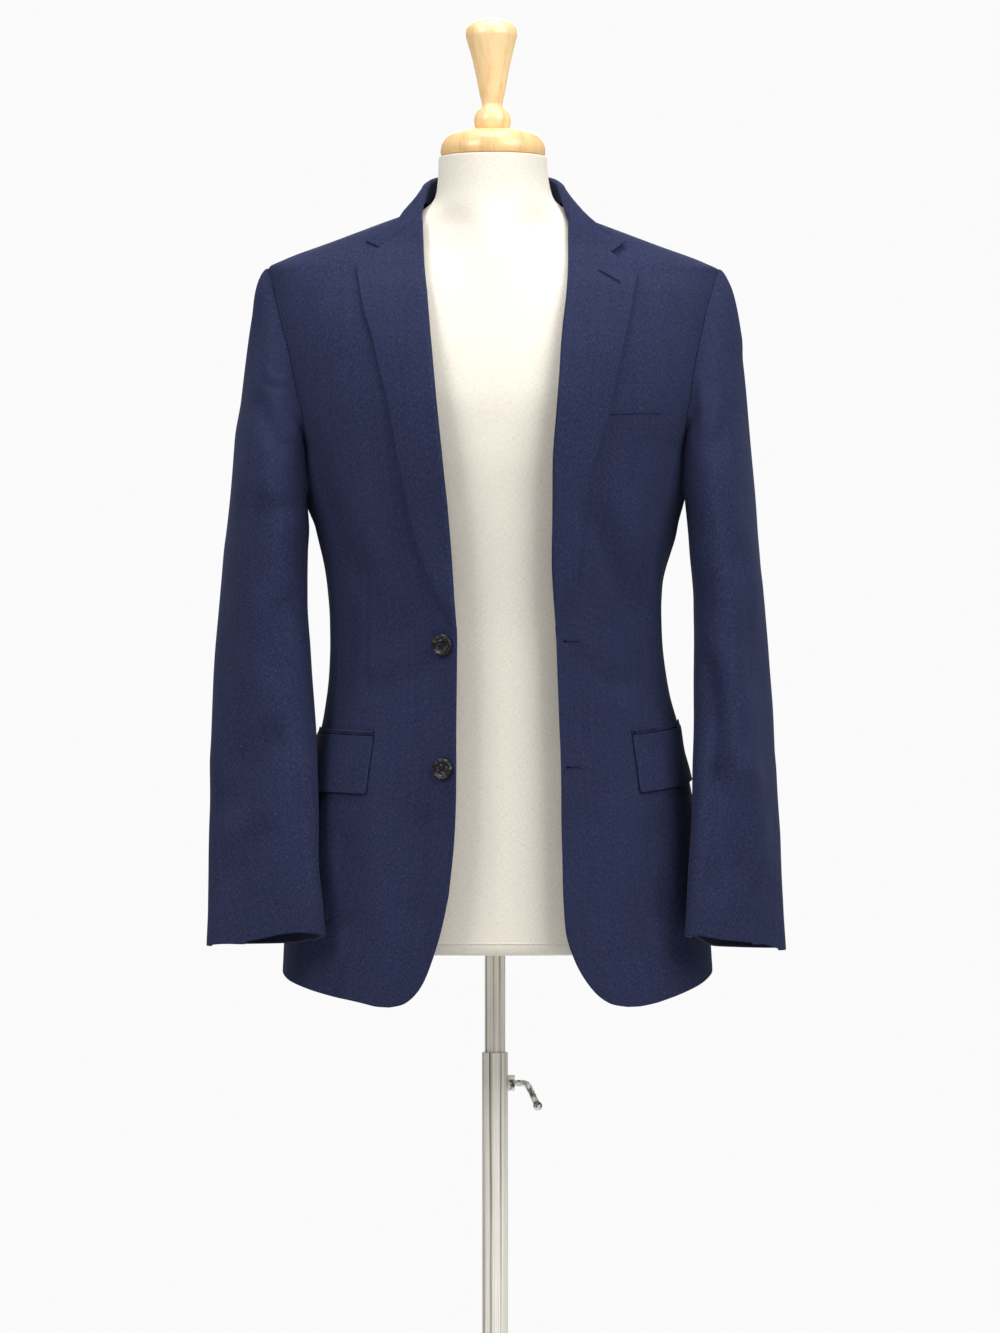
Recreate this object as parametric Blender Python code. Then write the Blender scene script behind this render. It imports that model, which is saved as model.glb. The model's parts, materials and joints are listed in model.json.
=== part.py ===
"""Single breasted blazer on a limbless dress form with a height-adjustable stand.

Metres, +Z up.  The wearer faces -Y, so the wearer's left is +X.  The origin is
the middle of the base plate's underside, on the axis of the stand.

The cloth is built as the maker cuts it: every panel is a wall on one torso
surface, given by horizontal sections, and what is sewn on a panel is made from
that surface, moved out.  LEFT and RIGHT are the wearer's.
"""

import math

import bpy
import numpy as np

MM = 0.001
LEFT = 1
RIGHT = -1
SIDE_NAMES = {LEFT: "left", RIGHT: "right"}

# ---------------------------------------------------------------- cloth sizes
WALL = 2.0 * MM  # wool with its interlining
SEAM = 0.3 * MM  # gap between two pieces at a seam
LAPEL_WALL = 2.0 * MM
LAPEL_LIFT = 2.8 * MM  # air between the chest and the lapel on it
FOLD_RADIUS = (LAPEL_LIFT + WALL + LAPEL_WALL) / 2  # outer radius of the roll
FLAP_WALL = 2.0 * MM
TRIM_LIFT = 0.9 * MM
BREAK_Z = 1.052  # where the lapel starts to roll, just above the top button
BREAK_JOG = 16 * MM  # height over which the front steps back behind the roll
LAPEL_START = 2 * MM  # the lapel starts this far above that step
FLARE_DEPTH = 18 * MM  # the open fronts stand forward of the chest by this
FLARE_WIDTH = 75 * MM
FLARE_TOP_Z = 1.42
FLARE_RUN = 0.22  # the flare grows over this height

# Horizontal sections of the torso's outer face, in mm: the distance from the
# axis at the centre front, the side and the centre back, and how full the
# section is at 45 degrees (1 is an ellipse).
TORSO_COLUMNS = ("z", "front", "side", "back", "front_full", "back_full")
TORSO = (
    (680, 127, 211.0, 136, 1.05, 1.06),
    (740, 124, 208.5, 133, 1.05, 1.06),
    (800, 120, 204.0, 128, 1.05, 1.06),
    (860, 116, 197.0, 120, 1.05, 1.06),
    (911, 113, 187.0, 110, 1.05, 1.06),
    (952, 111, 176.0, 99, 1.04, 1.05),
    (1006, 110, 163.5, 88, 1.04, 1.05),
    (1050, 110, 160.0, 83, 1.04, 1.05),
    (1102, 113, 163.0, 87, 1.04, 1.05),
    (1150, 118, 174.0, 97, 1.04, 1.05),
    (1185, 121, 182.0, 104, 1.04, 1.05),
    (1222, 124, 189.0, 110, 1.04, 1.05),
    (1262, 124, 201.0, 115, 1.04, 1.05),
    (1314, 115, 211.5, 111, 1.03, 1.04),
    (1350, 104, 215.8, 100, 1.01, 1.02),
    (1380, 94, 217.8, 90, 0.96, 0.97),
    (1405, 86, 218.7, 82, 0.84, 0.88),
    (1412, 84, 206.0, 81, 0.81, 0.84),
    (1430, 78, 158.0, 79, 0.76, 0.77),
    (1448, 71, 110.0, 76, 0.79, 0.80),
    (1457, 66, 86.0, 73, 0.88, 0.90),
    (1466, 62, 68.0, 70, 1.00, 1.00),
)
TORSO_TOP_Z = 1.4655
NECK_POINT_Z = 1.462
SHOULDER_END_Z = 1.405
BACK_NECK_Z = 1.462

# Where each front ends, in mm from the axis: the fold of the collar and lapel
# above BREAK_Z and the front edge below it.  The jacket hangs open, a little
# to the wearer's left.
EDGE_COLUMNS = ("z", "left", "right")
FRONT_EDGE = (
    (800, 65.5, 44.5),
    (860, 64.2, 38.5),
    (900, 63.8, 37.2),
    (967, 61.9, 37.0),
    (1020, 60.0, 37.1),
    (1043, 59.0, 37.3),
    (1090, 54.6, 40.2),
    (1119, 53.4, 42.3),
    (1166, 54.2, 45.7),
    (1207, 54.3, 50.2),
    (1260, 58.0, 55.6),
    (1305, 61.4, 60.0),
    (1340, 64.0, 63.2),
    (1376, 68.3, 66.4),
    (1407, 70.4, 68.6),
    (1452, 71.0, 69.5),
)
# The cutaway at the foot of each front, from the front edge round to the hem,
# and the hem from there towards the side seam: x and z in mm.
CUTAWAY = {
    RIGHT: ((44.5, 800), (51.4, 767), (59.5, 740), (70.4, 713.7), (83, 700.5), (101, 694.5)),
    LEFT: ((65.5, 800), (68.0, 767), (76.0, 740), (90.0, 715.0), (105, 701.0), (127, 694.5)),
}
HEM = {
    RIGHT: ((101, 694.5), (136, 700.5), (162, 704.0)),
    LEFT: ((127, 694.5), (148, 696.5), (163, 699.4)),
}
SIDE_HEM_Z = {RIGHT: 0.7050, LEFT: 0.7005}  # at the side panel's front seam
VENT_HEM_Z = {RIGHT: 0.7325, LEFT: 0.7380}  # and at its back seam
BACK_HEM_Z = 0.735
VENT_TOP_Z = 0.945
VENT_LAP = 9 * MM  # the back laps over the side panel at each side vent
VENT_LIFT = 3.5 * MM
VENT_RUN = 45 * MM  # the lap grows over this height

# Angles from the centre front, in degrees, of the two side seams.
SEAM_COLUMNS = ("z", "front_seam", "back_seam")
SIDE_SEAMS = (
    (700, 62.0, 107.0),
    (860, 63.0, 108.0),
    (1050, 64.0, 111.0),
    (1200, 70.0, 110.0),
    (1275, 75.0, 107.0),
)

# The armhole seen from the side, in mm: how far it reaches before and behind
# the shoulder's ridge.
ARMHOLE_COLUMNS = ("z", "front", "back")
ARMHOLE = (
    (1222, 0.0, 0.0),
    (1224, 16.0, 20.0),
    (1229, 30.0, 35.0),
    (1240, 44.0, 49.0),
    (1262, 53.0, 60.0),
    (1289, 53.0, 63.0),
    (1315, 49.0, 60.0),
    (1346, 39.5, 50.0),
    (1376, 25.0, 34.0),
    (1395, 12.0, 17.0),
    (1405, 0.0, 0.0),
)
FRONT_JOIN_Z = 1.250  # where the front side seam meets the armhole
BACK_JOIN_Z = 1.262

# ------------------------------------------------------------- lapel, collar
# The lapel's outer edge from the break up to its corner: x and z in mm.
LAPEL_EDGE = {
    RIGHT: (
        (47, 1073), (57, 1096), (73, 1141), (87.6, 1208),
        (99.1, 1262), (109.5, 1302), (119.1, 1340), (124.0, 1354), (133.0, 1402),
    ),
    LEFT: (
        (67, 1073), (74, 1096), (80, 1138), (85, 1188),
        (100.0, 1238), (107.6, 1260), (117.2, 1303), (130.5, 1361), (136.5, 1394),
    ),
}
GORGE_ROLL_Z = 1.4495  # the gorge seam starts here on the roll line
NOTCH_INNER = {RIGHT: (108.0, 1420.5), LEFT: (111.5, 1418.5)}
COLLAR_CORNER = {RIGHT: (122.0, 1428.0), LEFT: (124.5, 1427.0)}
COLLAR_WALL = 2.0 * MM
COLLAR_FOLD_RADIUS = 2.4 * MM
COLLAR_BOW = 3.0 * MM  # how far the fall bows out between its fold and its edge
GORGE_GAP = 0.3 * MM
# Guide lines of the collar on one side, from the centre back to the gorge: in
# each a point of its foot, one of its folded top and one of its outer edge, mm.
COLLAR = (
    ((0.0, 67.0, 1468.0), (0.0, 66.0, 1503.0), (0.0, 84.5, 1452.0)),
    ((22.0, 64.0, 1468.0), (22.0, 63.5, 1502.5), (27.0, 81.0, 1452.0)),
    ((42.0, 53.5, 1470.0), (41.5, 53.5, 1500.5), (53.0, 66.0, 1453.5)),
    ((57.5, 37.0, 1470.5), (56.5, 37.0, 1497.0), (75.0, 42.0, 1456.0)),
    ((66.0, 17.0, 1470.5), (65.5, 17.0, 1492.0), (88.0, 19.0, 1457.5)),
    ((68.5, -3.0, 1469.5), (69.5, -4.0, 1486.0), (97.0, -6.0, 1455.5)),
    ((69.5, -18.0, 1465.0), (70.5, -20.0, 1474.0), (107.0, -27.0, 1446.0)),
)

# -------------------------------------------------------------------- sleeves
# Each sleeve below the armpit: where its silhouette lies from the front, in mm
# from the axis, the place of its middle fore and aft, its girth, and how thick
# it hangs across its flat way.  The flat way turns its inner end forward.
SLEEVE_COLUMNS = ("z", "inner", "outer", "middle_y", "girth", "thick")
SLEEVE = {
    RIGHT: (
        (1176, 188.0, 260.0, 1.0, 372, 72),
        (1130, 186.0, 265.0, -3.0, 362, 77),
        (1080, 184.5, 269.0, -9.0, 350, 80),
        (1030, 180.5, 273.0, -17.0, 338, 80),
        (980, 177.5, 275.5, -27.0, 325, 76),
        (930, 173.5, 277.0, -39.0, 312, 69),
        (880, 172.0, 278.0, -51.0, 300, 62),
        (830, 170.5, 279.0, -65.0, 288, 54),
        (785, 166.0, 280.0, -77.0, 279, 48),
        (750, 163.0, 281.5, -85.0, 272, 44),
    ),
    LEFT: (
        (1176, 188.5, 255.0, 1.0, 372, 66),
        (1130, 190.5, 258.0, -3.0, 362, 67),
        (1080, 193.0, 262.5, -9.0, 350, 69),
        (1030, 193.5, 267.0, -17.0, 338, 71),
        (980, 193.5, 270.0, -27.0, 325, 70),
        (930, 194.0, 272.5, -39.0, 312, 66),
        (880, 192.0, 275.5, -51.0, 300, 61),
        (830, 188.5, 277.5, -61.0, 288, 54),
        (785, 186.0, 280.0, -68.0, 279, 48),
        (750, 185.0, 282.5, -72.0, 272, 44),
    ),
}
SLEEVE_TOP_Z = 1.176
CUFF_SLANT = 13 * MM  # the cuff's back is this much longer than its front
CUFF_Z = 0.751
CAP_PUSH = 62 * MM  # how hard the sleeve head stands away from the seam
CAP_DROP = 230 * MM
CAP_RISE = 4 * MM
FRONT_SLEEVE_SEAM = 135  # degrees from the outer side towards the front
BACK_SLEEVE_SEAM = 105  # and towards the back
CUFF_STEP = 2.4 * MM  # the under sleeve ends this much above the top sleeve
SLEEVE_SEAT = 0.8 * MM  # the sleeve's start stands off the armhole's rim
SLEEVE_MOUTH = 1.8 * MM  # its wall there, thinned into the seam
SLOPE_REACH = 0.02  # height over which the sleeve's slope is taken

# ---------------------------------------------------------------------- trims
# Pocket flaps: x and z in mm of the front corners, then the rear ones as an
# angle from the centre front and z.
FLAP = {
    RIGHT: {"front_top": (115.9, 951.0), "front_foot": (122.6, 895.5), "rear": 93.0,
            "rear_top_z": 955.0, "rear_foot_z": 900.0},
    LEFT: {"front_top": (131.2, 951.5), "front_foot": (137.9, 896.5), "rear": 92.0,
           "rear_top_z": 960.0, "rear_foot_z": 908.0},
}
JET_HEIGHT = 5.0 * MM
JET_WALL = 1.2 * MM
WELT = {"inner": (100.0, 1258.0), "outer": (160.0, 1260.6), "height": 28.0}
WELT_WALL = 1.2 * MM
WELT_LIFT = 0.5 * MM
BUTTON_DIAMETER = 20.5 * MM
BUTTON_THICK = 4.2 * MM
BUTTON_SHANK = 0.6 * MM
BUTTONS = ((49.0, 1038.5), (49.0, 920.5))  # on the wearer's right front

# ------------------------------------------------------------- form and stand
FORM_FOOT_Z = 0.750
FORM_TOP_Z = 1.5145
ARM_PLATE_X = 0.178
FORM_CLEAR_COLUMNS = ("z", "clearance")  # mm from the cloth's inner face
FORM_CLEAR = (
    (700, 13.0), (900, 13.0), (1050, 10.0), (1200, 8.0), (1300, 6.0), (1380, 4.5), (1415, 3.4),
    (1440, 3.6), (1466, 3.6),
)
FORM_CLEAR_BEHIND = 5.0 * MM  # more under the back, which lies across the shoulder blades
FORM_CLEAR_TURN = 0.16  # radians behind the side over which that is added
FORM_EDGE_DROP = 8 * MM  # the form's flat underside lies this far below its foot
NECK_COLUMNS = ("z", "side", "front", "back")
NECK = (
    (1466, 58.5, 54.2, 57.5),
    (1478, 56.3, 53.5, 57.0),
    (1494, 55.0, 53.0, 56.0),
    (1514.5, 54.0, 53.0, 54.0),
)
CAP_TOP_Z = 1.539
CAP_DIAMETER = 103 * MM
FINIAL_TOP_Z = 1.650
# The turned finial from its foot up: radius and height above the neck cap, mm.
FINIAL_PROFILE = (
    (13.8, 0.3), (17.0, 3.2), (18.2, 8.0), (18.2, 12.5), (16.6, 18.0), (13.0, 22.5), (10.2, 25.5),
    (9.8, 28.5), (11.6, 33.0), (13.4, 42.0), (15.6, 54.0), (18.4, 67.0), (21.6, 80.0),
    (24.4, 90.0), (25.4, 97.0), (24.0, 103.5), (18.5, 108.6), (9.5, 110.8),
)
INNER_TUBE = 20.0 * MM
OUTER_TUBE = 25.0 * MM
TUBE_WALL = 1.5 * MM
TUBE_GAP = 0.3 * MM
OUTER_TUBE_TOP_Z = 0.642
INNER_TUBE_FOOT_Z = 0.300
SOCKET_DEPTH = 45 * MM
CLAMP_Z = 0.612
NUT_ACROSS = 13.5 * MM
NUT_LENGTH = 6.5 * MM
SCREW_DIAMETER = 6.0 * MM
HANDLE_BALL = 9.0 * MM
# The bent handle past the nut: mm from the axis and from CLAMP_Z.
HANDLE_ROUTE = ((26, 0), (31, -1.5), (34.5, -7), (38, -14.5), (40.3, -19.5))
CLAMP_STEPS = 12
BASE_DIAMETER = 380 * MM
BASE_THICK = 10 * MM
BASE_BOSS_DIAMETER = 48 * MM
BASE_BOSS_HEIGHT = 22 * MM

MATERIALS = {
    # colour, roughness, metallic
    "navy_wool": ((0.026, 0.032, 0.074), 0.85, 0.0),
    "horn": ((0.020, 0.014, 0.010), 0.30, 0.0),
    "canvas": ((0.88, 0.84, 0.76), 0.80, 0.0),
    "turned_wood": ((0.76, 0.50, 0.24), 0.35, 0.0),
    "steel": ((0.50, 0.48, 0.45), 0.30, 1.0),
}


# ------------------------------------------------------------- small helpers
def clear_scene():
    for thing in list(bpy.data.objects):
        bpy.data.objects.remove(thing, do_unlink=True)


def material(name):
    if name in bpy.data.materials:
        return bpy.data.materials[name]
    colour, roughness, metallic = MATERIALS[name]
    made = bpy.data.materials.new(name)
    made.use_nodes = True
    shader = made.node_tree.nodes["Principled BSDF"]
    shader.inputs["Base Color"].default_value = (*colour, 1.0)
    shader.inputs["Roughness"].default_value = roughness
    shader.inputs["Metallic"].default_value = metallic
    return made


def smooth(t):
    t = min(max(t, 0.0), 1.0)
    return t * t * (3 - 2 * t)


def column(table, names, wanted):
    """One named column of a table, in metres where the table is in mm."""
    at = names.index(wanted)
    return [row[at] for row in table]


def curve_through(knots, values, at):
    """Smooth monotone-safe cubic (Fritsch and Carlson) through values at rising knots."""
    knots = list(knots)
    values = list(values)
    if knots[0] > knots[-1]:
        knots.reverse()
        values.reverse()
    at = min(max(at, knots[0]), knots[-1])
    steps = [b - a for a, b in zip(knots, knots[1:])]
    slopes = [(b - a) / h for a, b, h in zip(values, values[1:], steps)]
    tangents = [slopes[0]]
    for i in range(1, len(slopes)):
        left, right = slopes[i - 1], slopes[i]
        if left * right <= 0:
            tangents.append(0.0)
        else:
            w1 = 2 * steps[i] + steps[i - 1]
            w2 = steps[i] + 2 * steps[i - 1]
            tangents.append((w1 + w2) / (w1 / left + w2 / right))
    tangents.append(slopes[-1])
    i = 0
    while i < len(steps) - 1 and at > knots[i + 1]:
        i += 1
    h = steps[i]
    t = (at - knots[i]) / h
    return (
        values[i] * (1 + 2 * t) * (1 - t) ** 2
        + h * tangents[i] * t * (1 - t) ** 2
        + values[i + 1] * t * t * (3 - 2 * t)
        + h * tangents[i + 1] * t * t * (t - 1)
    )


def polyline(points, count):
    """count + 1 points along a smooth curve through the given ones, by length."""
    points = [np.array(p, float) for p in points]
    lengths = [0.0]
    for a, b in zip(points, points[1:]):
        lengths.append(lengths[-1] + float(np.linalg.norm(b - a)))
    out = []
    for k in range(count + 1):
        s = lengths[-1] * k / count
        out.append(
            np.array([
                curve_through(lengths, [p[axis] for p in points], s)
                for axis in range(len(points[0]))
            ])
        )
    return out


# ------------------------------------------------------------- torso surface
def edge_x(z, side):
    return curve_through(
        [row[0] * MM for row in FRONT_EDGE],
        [row[EDGE_COLUMNS.index(SIDE_NAMES[side])] * MM for row in FRONT_EDGE],
        z,
    )


def torso_radius(angle, z):
    """Distance from the axis at an angle from the centre front (radians)."""
    knots = [row[0] * MM for row in TORSO]
    side = curve_through(knots, column(TORSO, TORSO_COLUMNS, "side"), z) * MM
    face = "front" if math.cos(angle) > 0 else "back"
    middle = curve_through(knots, column(TORSO, TORSO_COLUMNS, face), z) * MM
    full = curve_through(knots, column(TORSO, TORSO_COLUMNS, face + "_full"), z)
    q_middle, q_side = 1 / middle**2, 1 / side**2
    mean = (q_middle + q_side) / 2
    q_diagonal = mean / full**2
    a = (mean + q_diagonal) / 2
    b = (q_middle - q_side) / 2
    c = (mean - q_diagonal) / 2
    q = a + b * math.cos(2 * angle) + c * math.cos(4 * angle)
    return 1 / math.sqrt(q)


def torso_base(angle, z, side):
    radius = torso_radius(angle, z)
    x = radius * math.sin(angle)
    y = -radius * math.cos(angle)
    if y < 0:
        reach = 1 - (abs(x) - edge_x(z, side)) / FLARE_WIDTH
        y -= FLARE_DEPTH * max(0.0, reach) ** 2 * smooth((FLARE_TOP_Z - z) / FLARE_RUN)
    return np.array([side * x, y, z])


ANGLE_STEP, HEIGHT_STEP = 0.004, 0.001  # how far apart a surface is compared for its normal


def torso_normal(angle, z, side):
    around = torso_base(angle + ANGLE_STEP, z, side) - torso_base(angle - ANGLE_STEP, z, side)
    up = torso_base(angle, z + HEIGHT_STEP, side) - torso_base(angle, z - HEIGHT_STEP, side)
    normal = np.cross(around, up) * side
    return normal / np.linalg.norm(normal)


def torso(angle, z, side, out=0.0):
    """A point of the jacket's outer face, moved out along the normal."""
    point = torso_base(angle, z, side)
    if out:
        point = point + torso_normal(angle, z, side) * out
    return point


def angle_at_x(x, z):
    """The angle on the front where the section reaches x."""
    low, high = 0.0, math.pi / 2
    for _ in range(40):
        middle = (low + high) / 2
        if torso_radius(middle, z) * math.sin(middle) < x:
            low = middle
        else:
            high = middle
    return (low + high) / 2


def angle_at_y(y, z):
    """The angle on the side where the section reaches y (behind is positive)."""
    low, high = math.radians(25), math.radians(155)
    for _ in range(40):
        middle = (low + high) / 2
        if -torso_radius(middle, z) * math.cos(middle) < y:
            low = middle
        else:
            high = middle
    return (low + high) / 2


# ------------------------------------------------------------------- meshing
def halves(quad, points):
    """A four-sided face as two triangles, cut along its shorter diagonal."""
    a, b, c, d = quad
    if math.dist(points[a], points[c]) <= math.dist(points[b], points[d]):
        return [(a, b, c), (a, c, d)]
    return [(a, b, d), (b, c, d)]


def new_object(name, vertices, faces, material_name, flat=False):
    """A node; its bent four-sided faces are cut in two, so they have one form."""
    faces = [t for f in faces for t in (halves(f, vertices) if len(f) == 4 else [f])]
    mesh = bpy.data.meshes.new(name)
    mesh.from_pydata([tuple(map(float, v)) for v in vertices], [], faces)
    mesh.validate()
    mesh.materials.append(material(material_name))
    thing = bpy.data.objects.new(name, mesh)
    bpy.context.scene.collection.objects.link(thing)
    if not flat:
        mesh.shade_smooth()
        mesh.set_sharp_from_angle(angle=math.radians(40))
    return thing


def wall_between(name, outer, inner, material_name):
    """A closed wall between two grids of points, rows by columns."""
    rows, cols = len(outer), len(outer[0])
    vertices = [p for row in outer for p in row] + [p for row in inner for p in row]
    half = rows * cols

    def at(i, j, layer=0):
        return layer * half + i * cols + j

    faces = []
    for i in range(rows - 1):
        for j in range(cols - 1):
            cell = (at(i, j), at(i, j + 1), at(i + 1, j + 1), at(i + 1, j))
            for triangle in halves(cell, vertices):
                faces.append(triangle)
                faces.append(tuple(half + v for v in reversed(triangle)))
    for i in range(rows - 1):
        faces.append((at(i, 0), at(i + 1, 0), at(i + 1, 0, 1), at(i, 0, 1)))
        last = cols - 1
        faces.append((at(i, last), at(i, last, 1), at(i + 1, last, 1), at(i + 1, last)))
    for j in range(cols - 1):
        faces.append((at(0, j), at(0, j, 1), at(0, j + 1, 1), at(0, j + 1)))
        last = rows - 1
        faces.append((at(last, j), at(last, j + 1), at(last, j + 1, 1), at(last, j, 1)))
    points = np.array(vertices)
    volume = sum(
        float(np.dot(points[f[0]], np.cross(points[f[k]], points[f[k + 1]])))
        for f in faces
        for k in range(1, len(f) - 1)
    )
    if volume < 0:
        faces = [tuple(reversed(f)) for f in faces]
    return new_object(name, vertices, faces, material_name)


def inset(grid, edges="lrtb", gap=SEAM / 2):
    """Pull the named edges of a grid in by half a seam's gap."""
    grid = [[np.array(p) for p in row] for row in grid]

    def pull(point, inward):
        step = inward - point
        return point + step * (gap / max(float(np.linalg.norm(step)), 1e-9))

    if "l" in edges:
        for row in grid:
            row[0] = pull(row[0], row[1])
    if "r" in edges:
        for row in grid:
            row[-1] = pull(row[-1], row[-2])
    if "b" in edges:
        grid[0] = [pull(p, q) for p, q in zip(grid[0], grid[1])]
    if "t" in edges:
        grid[-1] = [pull(p, q) for p, q in zip(grid[-1], grid[-2])]
    return grid


def coons(bottom, top, left, right):
    """Fill (angle, z) between four shared borders; rows run from bottom to top."""
    rows, cols = len(left), len(bottom)
    grid = []
    for i in range(rows):
        t = i / (rows - 1)
        line = []
        for j in range(cols):
            s = j / (cols - 1)
            p = (
                (1 - t) * bottom[j] + t * top[j] + (1 - s) * left[i] + s * right[i]
                - (1 - t) * (1 - s) * bottom[0] - (1 - t) * s * bottom[-1]
                - t * (1 - s) * top[0] - t * s * top[-1]
            )
            line.append(p)
        grid.append(line)
    return grid


def panel(name, domain, side, edges, lift=None):
    """A cloth wall over a grid of (angle, z); lift gives how far a point stands out."""
    lift = lift or (lambda a, z: 0.0)
    outer = [[torso(a, z, side, lift(a, z)) for a, z in row] for row in domain]
    inner = [[torso(a, z, side, lift(a, z) - WALL) for a, z in row] for row in domain]
    return wall_between(name, inset(outer, edges), inset(inner, edges), "navy_wool")


# ------------------------------------------------------- borders of the cut
SIDE_ROWS = 13
ARMHOLE_ROWS = 9
VENT_REACH = 0.25  # radians of the back over which the vent stands out
FRONT_COLUMNS = 12
HEM_STEPS = 6  # columns of the front over the length that HEM gives
SIDE_COLUMNS = 5
BACK_COLUMNS = 11
FRONT_NECK_COLUMNS = 3  # columns of the front between its gorge and the neck point
BACK_NECK_COLUMNS = 4  # and of the back between its middle and the neck point
EDGE_ROWS = (5, 5, 1)  # cutaway, front edge up to the break, the jog of the roll


def seam_angle(z, which):
    knots = [row[0] * MM for row in SIDE_SEAMS]
    return math.radians(curve_through(knots, column(SIDE_SEAMS, SEAM_COLUMNS, which), z))


def armhole_y(z, face):
    knots = [row[0] for row in ARMHOLE]
    return curve_through(knots, column(ARMHOLE, ARMHOLE_COLUMNS, face), z / MM) * MM


def armhole_angle(z, face):
    y = armhole_y(z, face)
    return angle_at_y(-y if face == "front" else y, z)


def armhole_run(face, z_from, z_to, count):
    """(angle, z) along the armhole, spaced by length."""
    fine = []
    for k in range(61):
        t = 0.5 - 0.5 * math.cos(math.pi * k / 60)
        z = z_from + (z_to - z_from) * t
        fine.append((armhole_y(z, face), z))
    lengths = [0.0]
    for a, b in zip(fine, fine[1:]):
        lengths.append(lengths[-1] + math.dist(a, b))
    run = []
    for k in range(count + 1):
        s = lengths[-1] * k / count
        z = float(np.interp(s, lengths, [p[1] for p in fine]))
        run.append(np.array([armhole_angle(z, face), z]))
    run[0][1], run[-1][1] = z_from, z_to
    return run


def side_seam(which, z_foot, z_top):
    run = []
    for k in range(SIDE_ROWS + 1):
        z = z_foot + (z_top - z_foot) * k / SIDE_ROWS
        run.append([seam_angle(z, which), z])
    face = "front" if which == "front_seam" else "back"
    meet = armhole_angle(z_top, face)
    for k, point in enumerate(run):  # bend the seam's top to the armhole
        point[0] += (meet - run[-1][0]) * smooth((k / SIDE_ROWS - 0.55) / 0.45)
    run[-1][0] = meet
    return [np.array(p) for p in run]


def roll_domain(z, side, back=0.0):
    """(angle, z) of the roll line or front edge, or a little behind it."""
    return np.array([angle_at_x(edge_x(z, side) + back, z), z])


def front_left_border(side):
    """From the hem's corner up the cutaway, the front edge and the roll line."""
    behind = FOLD_RADIUS + 2 * SEAM
    n_cut, n_edge, n_jog = EDGE_ROWS
    cut = [(x * MM, z * MM) for x, z in reversed(CUTAWAY[side])]
    border = [np.array([angle_at_x(x, z), z]) for x, z in polyline(cut, n_cut)]
    border = border[:-1]
    for k in range(n_edge + 1):
        z = CUTAWAY[side][0][1] * MM
        z += (BREAK_Z - z) * k / n_edge
        border.append(roll_domain(z, side))
    rest = SIDE_ROWS + ARMHOLE_ROWS - n_cut - n_edge - n_jog
    start = BREAK_Z + BREAK_JOG
    for k in range(rest + 1):
        t = k / rest
        z = start + (GORGE_ROLL_Z - start) * t
        border.append(roll_domain(z, side, behind))
    return border


def top_border(start, columns, neck_columns):
    """From a panel's top corner to the neck point, then the shoulder seam to its end."""
    neck = np.array([math.pi / 2, NECK_POINT_Z])
    end = np.array([math.pi / 2, SHOULDER_END_Z])
    seam_columns = columns - neck_columns
    border = [start + (neck - start) * (k / neck_columns) for k in range(neck_columns)]
    border += [neck + (end - neck) * k / seam_columns for k in range(seam_columns + 1)]
    return border


def front_hem(side):
    points = [(x * MM, z * MM) for x, z in HEM[side]]
    line = []
    for x, z in polyline(points, HEM_STEPS)[:-1]:
        line.append(np.array([angle_at_x(x, z), z]))
    foot_z = SIDE_HEM_Z[side]
    last = np.array([seam_angle(foot_z, "front_seam"), foot_z])
    rest = FRONT_COLUMNS + 1 - len(line)
    start = line[-1]
    for k in range(1, rest + 1):
        line.append(start + (last - start) * k / rest)
    return line


def build_front(side):
    right = side_seam("front_seam", SIDE_HEM_Z[side], FRONT_JOIN_Z)[:-1]
    right += armhole_run("front", FRONT_JOIN_Z, SHOULDER_END_Z, ARMHOLE_ROWS)
    left = front_left_border(side)
    top = top_border(left[-1], FRONT_COLUMNS, FRONT_NECK_COLUMNS)
    bottom = front_hem(side)
    bottom[0] = left[0]
    return panel(f"front_{SIDE_NAMES[side]}", coons(bottom, top, left, right), side, "rt")


def build_side(side):
    left = side_seam("front_seam", SIDE_HEM_Z[side], FRONT_JOIN_Z)
    right = side_seam("back_seam", VENT_HEM_Z[side], BACK_JOIN_Z)
    bottom = [
        left[0] + (right[0] - left[0]) * k / SIDE_COLUMNS for k in range(SIDE_COLUMNS + 1)
    ]
    run = armhole_run("front", FRONT_JOIN_Z, ARMHOLE[0][0] * MM, 3)
    run += armhole_run("back", ARMHOLE[0][0] * MM, BACK_JOIN_Z, 3)[1:]
    lengths = [0.0]
    for a, b in zip(run, run[1:]):
        lengths.append(lengths[-1] + math.dist(torso(*a, side), torso(*b, side)))
    top = []
    for k in range(SIDE_COLUMNS + 1):
        s = lengths[-1] * k / SIDE_COLUMNS
        top.append(np.array([np.interp(s, lengths, [p[axis] for p in run]) for axis in (0, 1)]))
    return panel(f"side_{SIDE_NAMES[side]}", coons(bottom, top, left, right), side, "lrt")


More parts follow.
